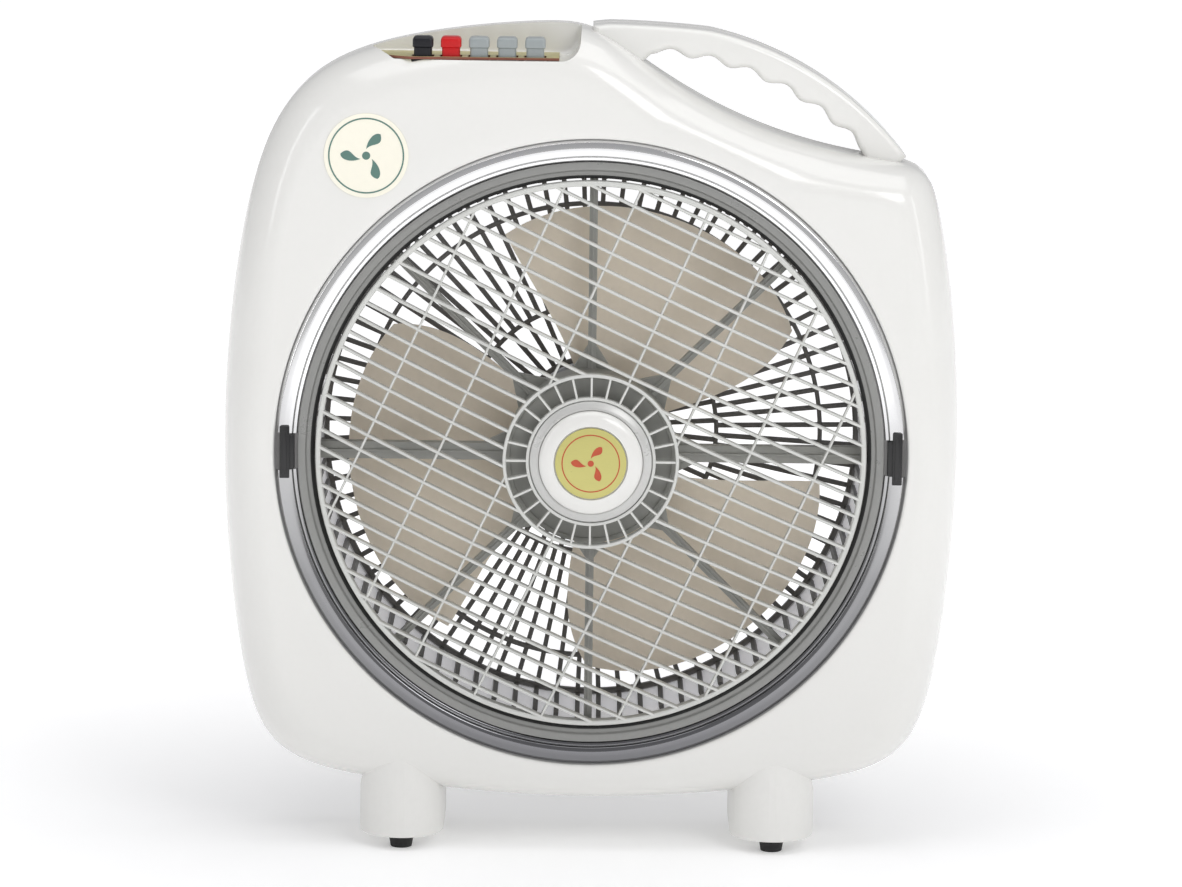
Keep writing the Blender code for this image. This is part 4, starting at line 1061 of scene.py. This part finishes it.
def make_panel():
    low = NOTCH_FLOOR + SEAM
    right = NOTCH_RIGHT - 13
    margin = 0.5
    lobe = NOTCH_LOBE - 2  # radius of its rounded front left corner
    front_angle = math.degrees(math.asin((LOBE_CENTRE[1] - PANEL_FRONT_D) / lobe))
    plan = [(NOTCH_LEFT + 2, NOTCH_REAR_D - margin)]
    plan += arc_points(LOBE_CENTRE, lobe, 180, 180 + front_angle, 24)
    plan += [(right, PANEL_FRONT_D), (right, NOTCH_REAR_D - margin)]
    bm = bmesh.new()
    slab(bm, plan, low, low + PANEL_THICK, lying, 0.0, 0.3, 2)
    mesh = combined("control_fascia", finished_mesh("fascia", bm),
                    [("DIFFERENCE", key_ways("fascia_ways", 0.5))])
    made = piece("control_fascia", mesh, [OLIVE, PANEL_EDGE_SHADOW], ["control_plate"])
    # Painted shadow: the faces of the fascia that look forward are coloured dark brown, a
    # painted shadow line along its front edge.
    for polygon in made.data.polygons:
        if polygon.normal.y < -0.5:
            polygon.material_index = 1


def make_emblem():
    """A plain round label with a generic fan mark."""
    bm = bmesh.new()
    x0, z0 = EMBLEM
    face = -0.7
    turn(bm, [(0, face), (EMBLEM_R - 0.1, face), (EMBLEM_R, face + 0.1),
              (EMBLEM_R, -0.05), (0, -0.05)], 96, None, x0, z0)
    fan_mark(bm, face, x0, z0, 1.3)
    piece("round_label", bm, [CREAM, INK_GREEN],
          ["emblem_sticker"])


def make_feet():
    half = FOOT_WIDTH / 2
    base, crown = GROUND + PAD_HEIGHT + 0.3, GROUND + FOOT_TOP - half
    for side, name in ((-1, "left"), (1, "right")):
        x = side * FOOT_X
        face = [(x - half, base), (x + half, base)] + arc_points((x, crown), half, 0, 180, 40)
        bm = bmesh.new()
        slab(bm, face, FOOT_FRONT_D, FOOT_REAR_D, upright, 0, 0)
        plan = arc_points((x, FOOT_FRONT_D + half), half + 0.1, 180, 360, 48)
        plan += arc_points((x, FOOT_REAR_D - half), half + 0.1, 0, 180, 48)
        stand = bmesh.new()
        slab(stand, plan, base, crown + half + 1, lying, 2.2, 0, 4)
        mesh = combined("foot_" + name + "_cover", finished_mesh("foot", bm),
                        [("INTERSECT", finished_mesh("foot_plan", stand))])
        piece("foot_" + name + "_cover", mesh, FOOT_WHITE, ["foot_" + name])
        for place, depth in zip(("front", "rear"), PAD_DS):
            bm = bmesh.new()
            rows = []
            profile = fillet([(0, 0), (PAD_R - 1.4, 0), (PAD_R - 0.6, 5), (PAD_R, 5.4),
                              (PAD_R, PAD_HEIGHT), (0, PAD_HEIGHT)], 0.5, False)
            for i in range(48):
                rows.append([Vector((*polar(r, 360 * i / 48, (x, depth)), GROUND + z))
                             for r, z in profile])
            strip(bm, rows, ring_profile=False)
            label = "_".join(("rubber_foot", name, place))
            piece(label, bm, RUBBER, ["pad_" + name + "_" + place])


def finish_cad_nodes():
    """Better materials for the inner parts that keep their own shape."""
    finishes = {
        "louvre_drive_shaft": STEEL, "louvre_motor": STEEL, "motor_shaft": STEEL,
        "rotor_core": LAMINATION, "stator_core": LAMINATION, "winding_front": COPPER,
        "winding_rear": COPPER, "front_bush": BRONZE, "rear_bush": BRONZE,
        "capacitor": BLACK, "key_switch_block": BLACK,
    }
    for node, material in finishes.items():
        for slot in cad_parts[node].material_slots:
            slot.material = material


# Studio ----------------------------------------------------------------

def make_floor():
    bm = bmesh.new()
    bmesh.ops.create_grid(bm, x_segments=8, y_segments=8, size=14.0)
    mesh = bpy.data.meshes.new("studio_floor")
    bm.to_mesh(mesh)
    bm.free()
    floor = bpy.data.objects.new("studio_floor", mesh)
    bpy.context.scene.collection.objects.link(floor)
    paper = surface("studio_floor_white", (0.93, 0.93, 0.935), 0.6, drift=0.004, grain=60.0,
                    bump=0.01)
    tree = paper.node_tree
    shader = tree.nodes["Principled BSDF"]
    coordinates = tree.nodes.new("ShaderNodeTexCoord")
    reach = tree.nodes.new("ShaderNodeVectorMath")
    reach.operation = "LENGTH"
    tree.links.new(coordinates.outputs["Object"], reach.inputs[0])
    # Painted shadow: the floor's emission is weakest under the fan, a painted soft contact
    # shadow, and rises to an even white further out.
    painted_glow = spread(tree, reach.outputs["Value"], 0.22, 0.66, (0.2, 0.9))
    tree.links.new(painted_glow, shader.inputs["Emission Strength"])
    shader.inputs["Emission Color"].default_value = (1.0, 1.0, 1.0, 1.0)
    floor.data.materials.append(paper)


def make_lights():
    target = Vector((0, 0, AXIS_Z))
    lamps = (
        ("strip_left", (-1.9, -1.3, 1.1), (0.22, 1.4), 3.0),
        ("strip_right", (2.0, -1.0, 0.9), (0.2, 1.4), 2.0),
        ("softbox_key", (1.1, -1.9, 1.6), (1.1, 0.9), 13.0),
        ("softbox_top", (0.1, -0.35, 2.0), (2.2, 1.4), 15.5),
    )
    for name, place, size, power in lamps:
        data = bpy.data.lights.new(name, "AREA")
        data.shape = "RECTANGLE"
        data.size, data.size_y = size
        data.energy = power
        lamp = bpy.data.objects.new(name, data)
        lamp.location = place
        lamp.rotation_euler = (target - lamp.location).to_track_quat("-Z", "Y").to_euler()
        bpy.context.scene.collection.objects.link(lamp)


def make_world():
    """An even grey, a little lighter at the horizon, so the gloss has something to show."""
    world = bpy.data.worlds.new("studio")
    world.use_nodes = True
    tree = world.node_tree
    background = tree.nodes["Background"]
    colour = ramp(tree, spread(tree, height_in(tree, "Generated"), 0.0, 1.0, (-1.0, 1.0)),
                  ((0.0, (0.5, 0.5, 0.51)), (0.5, (0.55, 0.55, 0.55)),
                   (0.62, (0.40, 0.40, 0.41)), (1.0, (0.38, 0.38, 0.39))))
    tree.links.new(colour, background.inputs["Color"])
    background.inputs["Strength"].default_value = 1.0
    bpy.context.scene.world = world


def make_camera():
    """Looks down a little from well in front, through a long lens."""
    distance, elevation, roll = 3.0, math.radians(9), math.radians(0.7)
    target = Vector((0, FRONT_Y, AXIS_Z + 7.5 * MM))
    data = bpy.data.cameras.new("camera")
    data.lens, data.sensor_width = 149.8, 36.0
    camera = bpy.data.objects.new("camera", data)
    camera.location = target + distance * Vector((0, -math.cos(elevation), math.sin(elevation)))
    look = (target - camera.location).to_track_quat("-Z", "Y").to_matrix().to_4x4()
    camera.rotation_euler = (look @ Matrix.Rotation(roll, 4, "Z")).to_euler()
    bpy.context.scene.collection.objects.link(camera)
    bpy.context.scene.camera = camera


make_front_shell()
make_rear_shell()
make_screws()
make_grommet()
make_trim()
make_carrier()
make_louvre()
make_louvre_hub()
make_fan()
make_motor()
make_rear_grille()
make_duct()
make_keys()
make_panel()
make_emblem()
make_feet()
finish_cad_nodes()
make_floor()
make_lights()
make_world()
make_camera()
bpy.context.scene.view_settings.view_transform = "Standard"
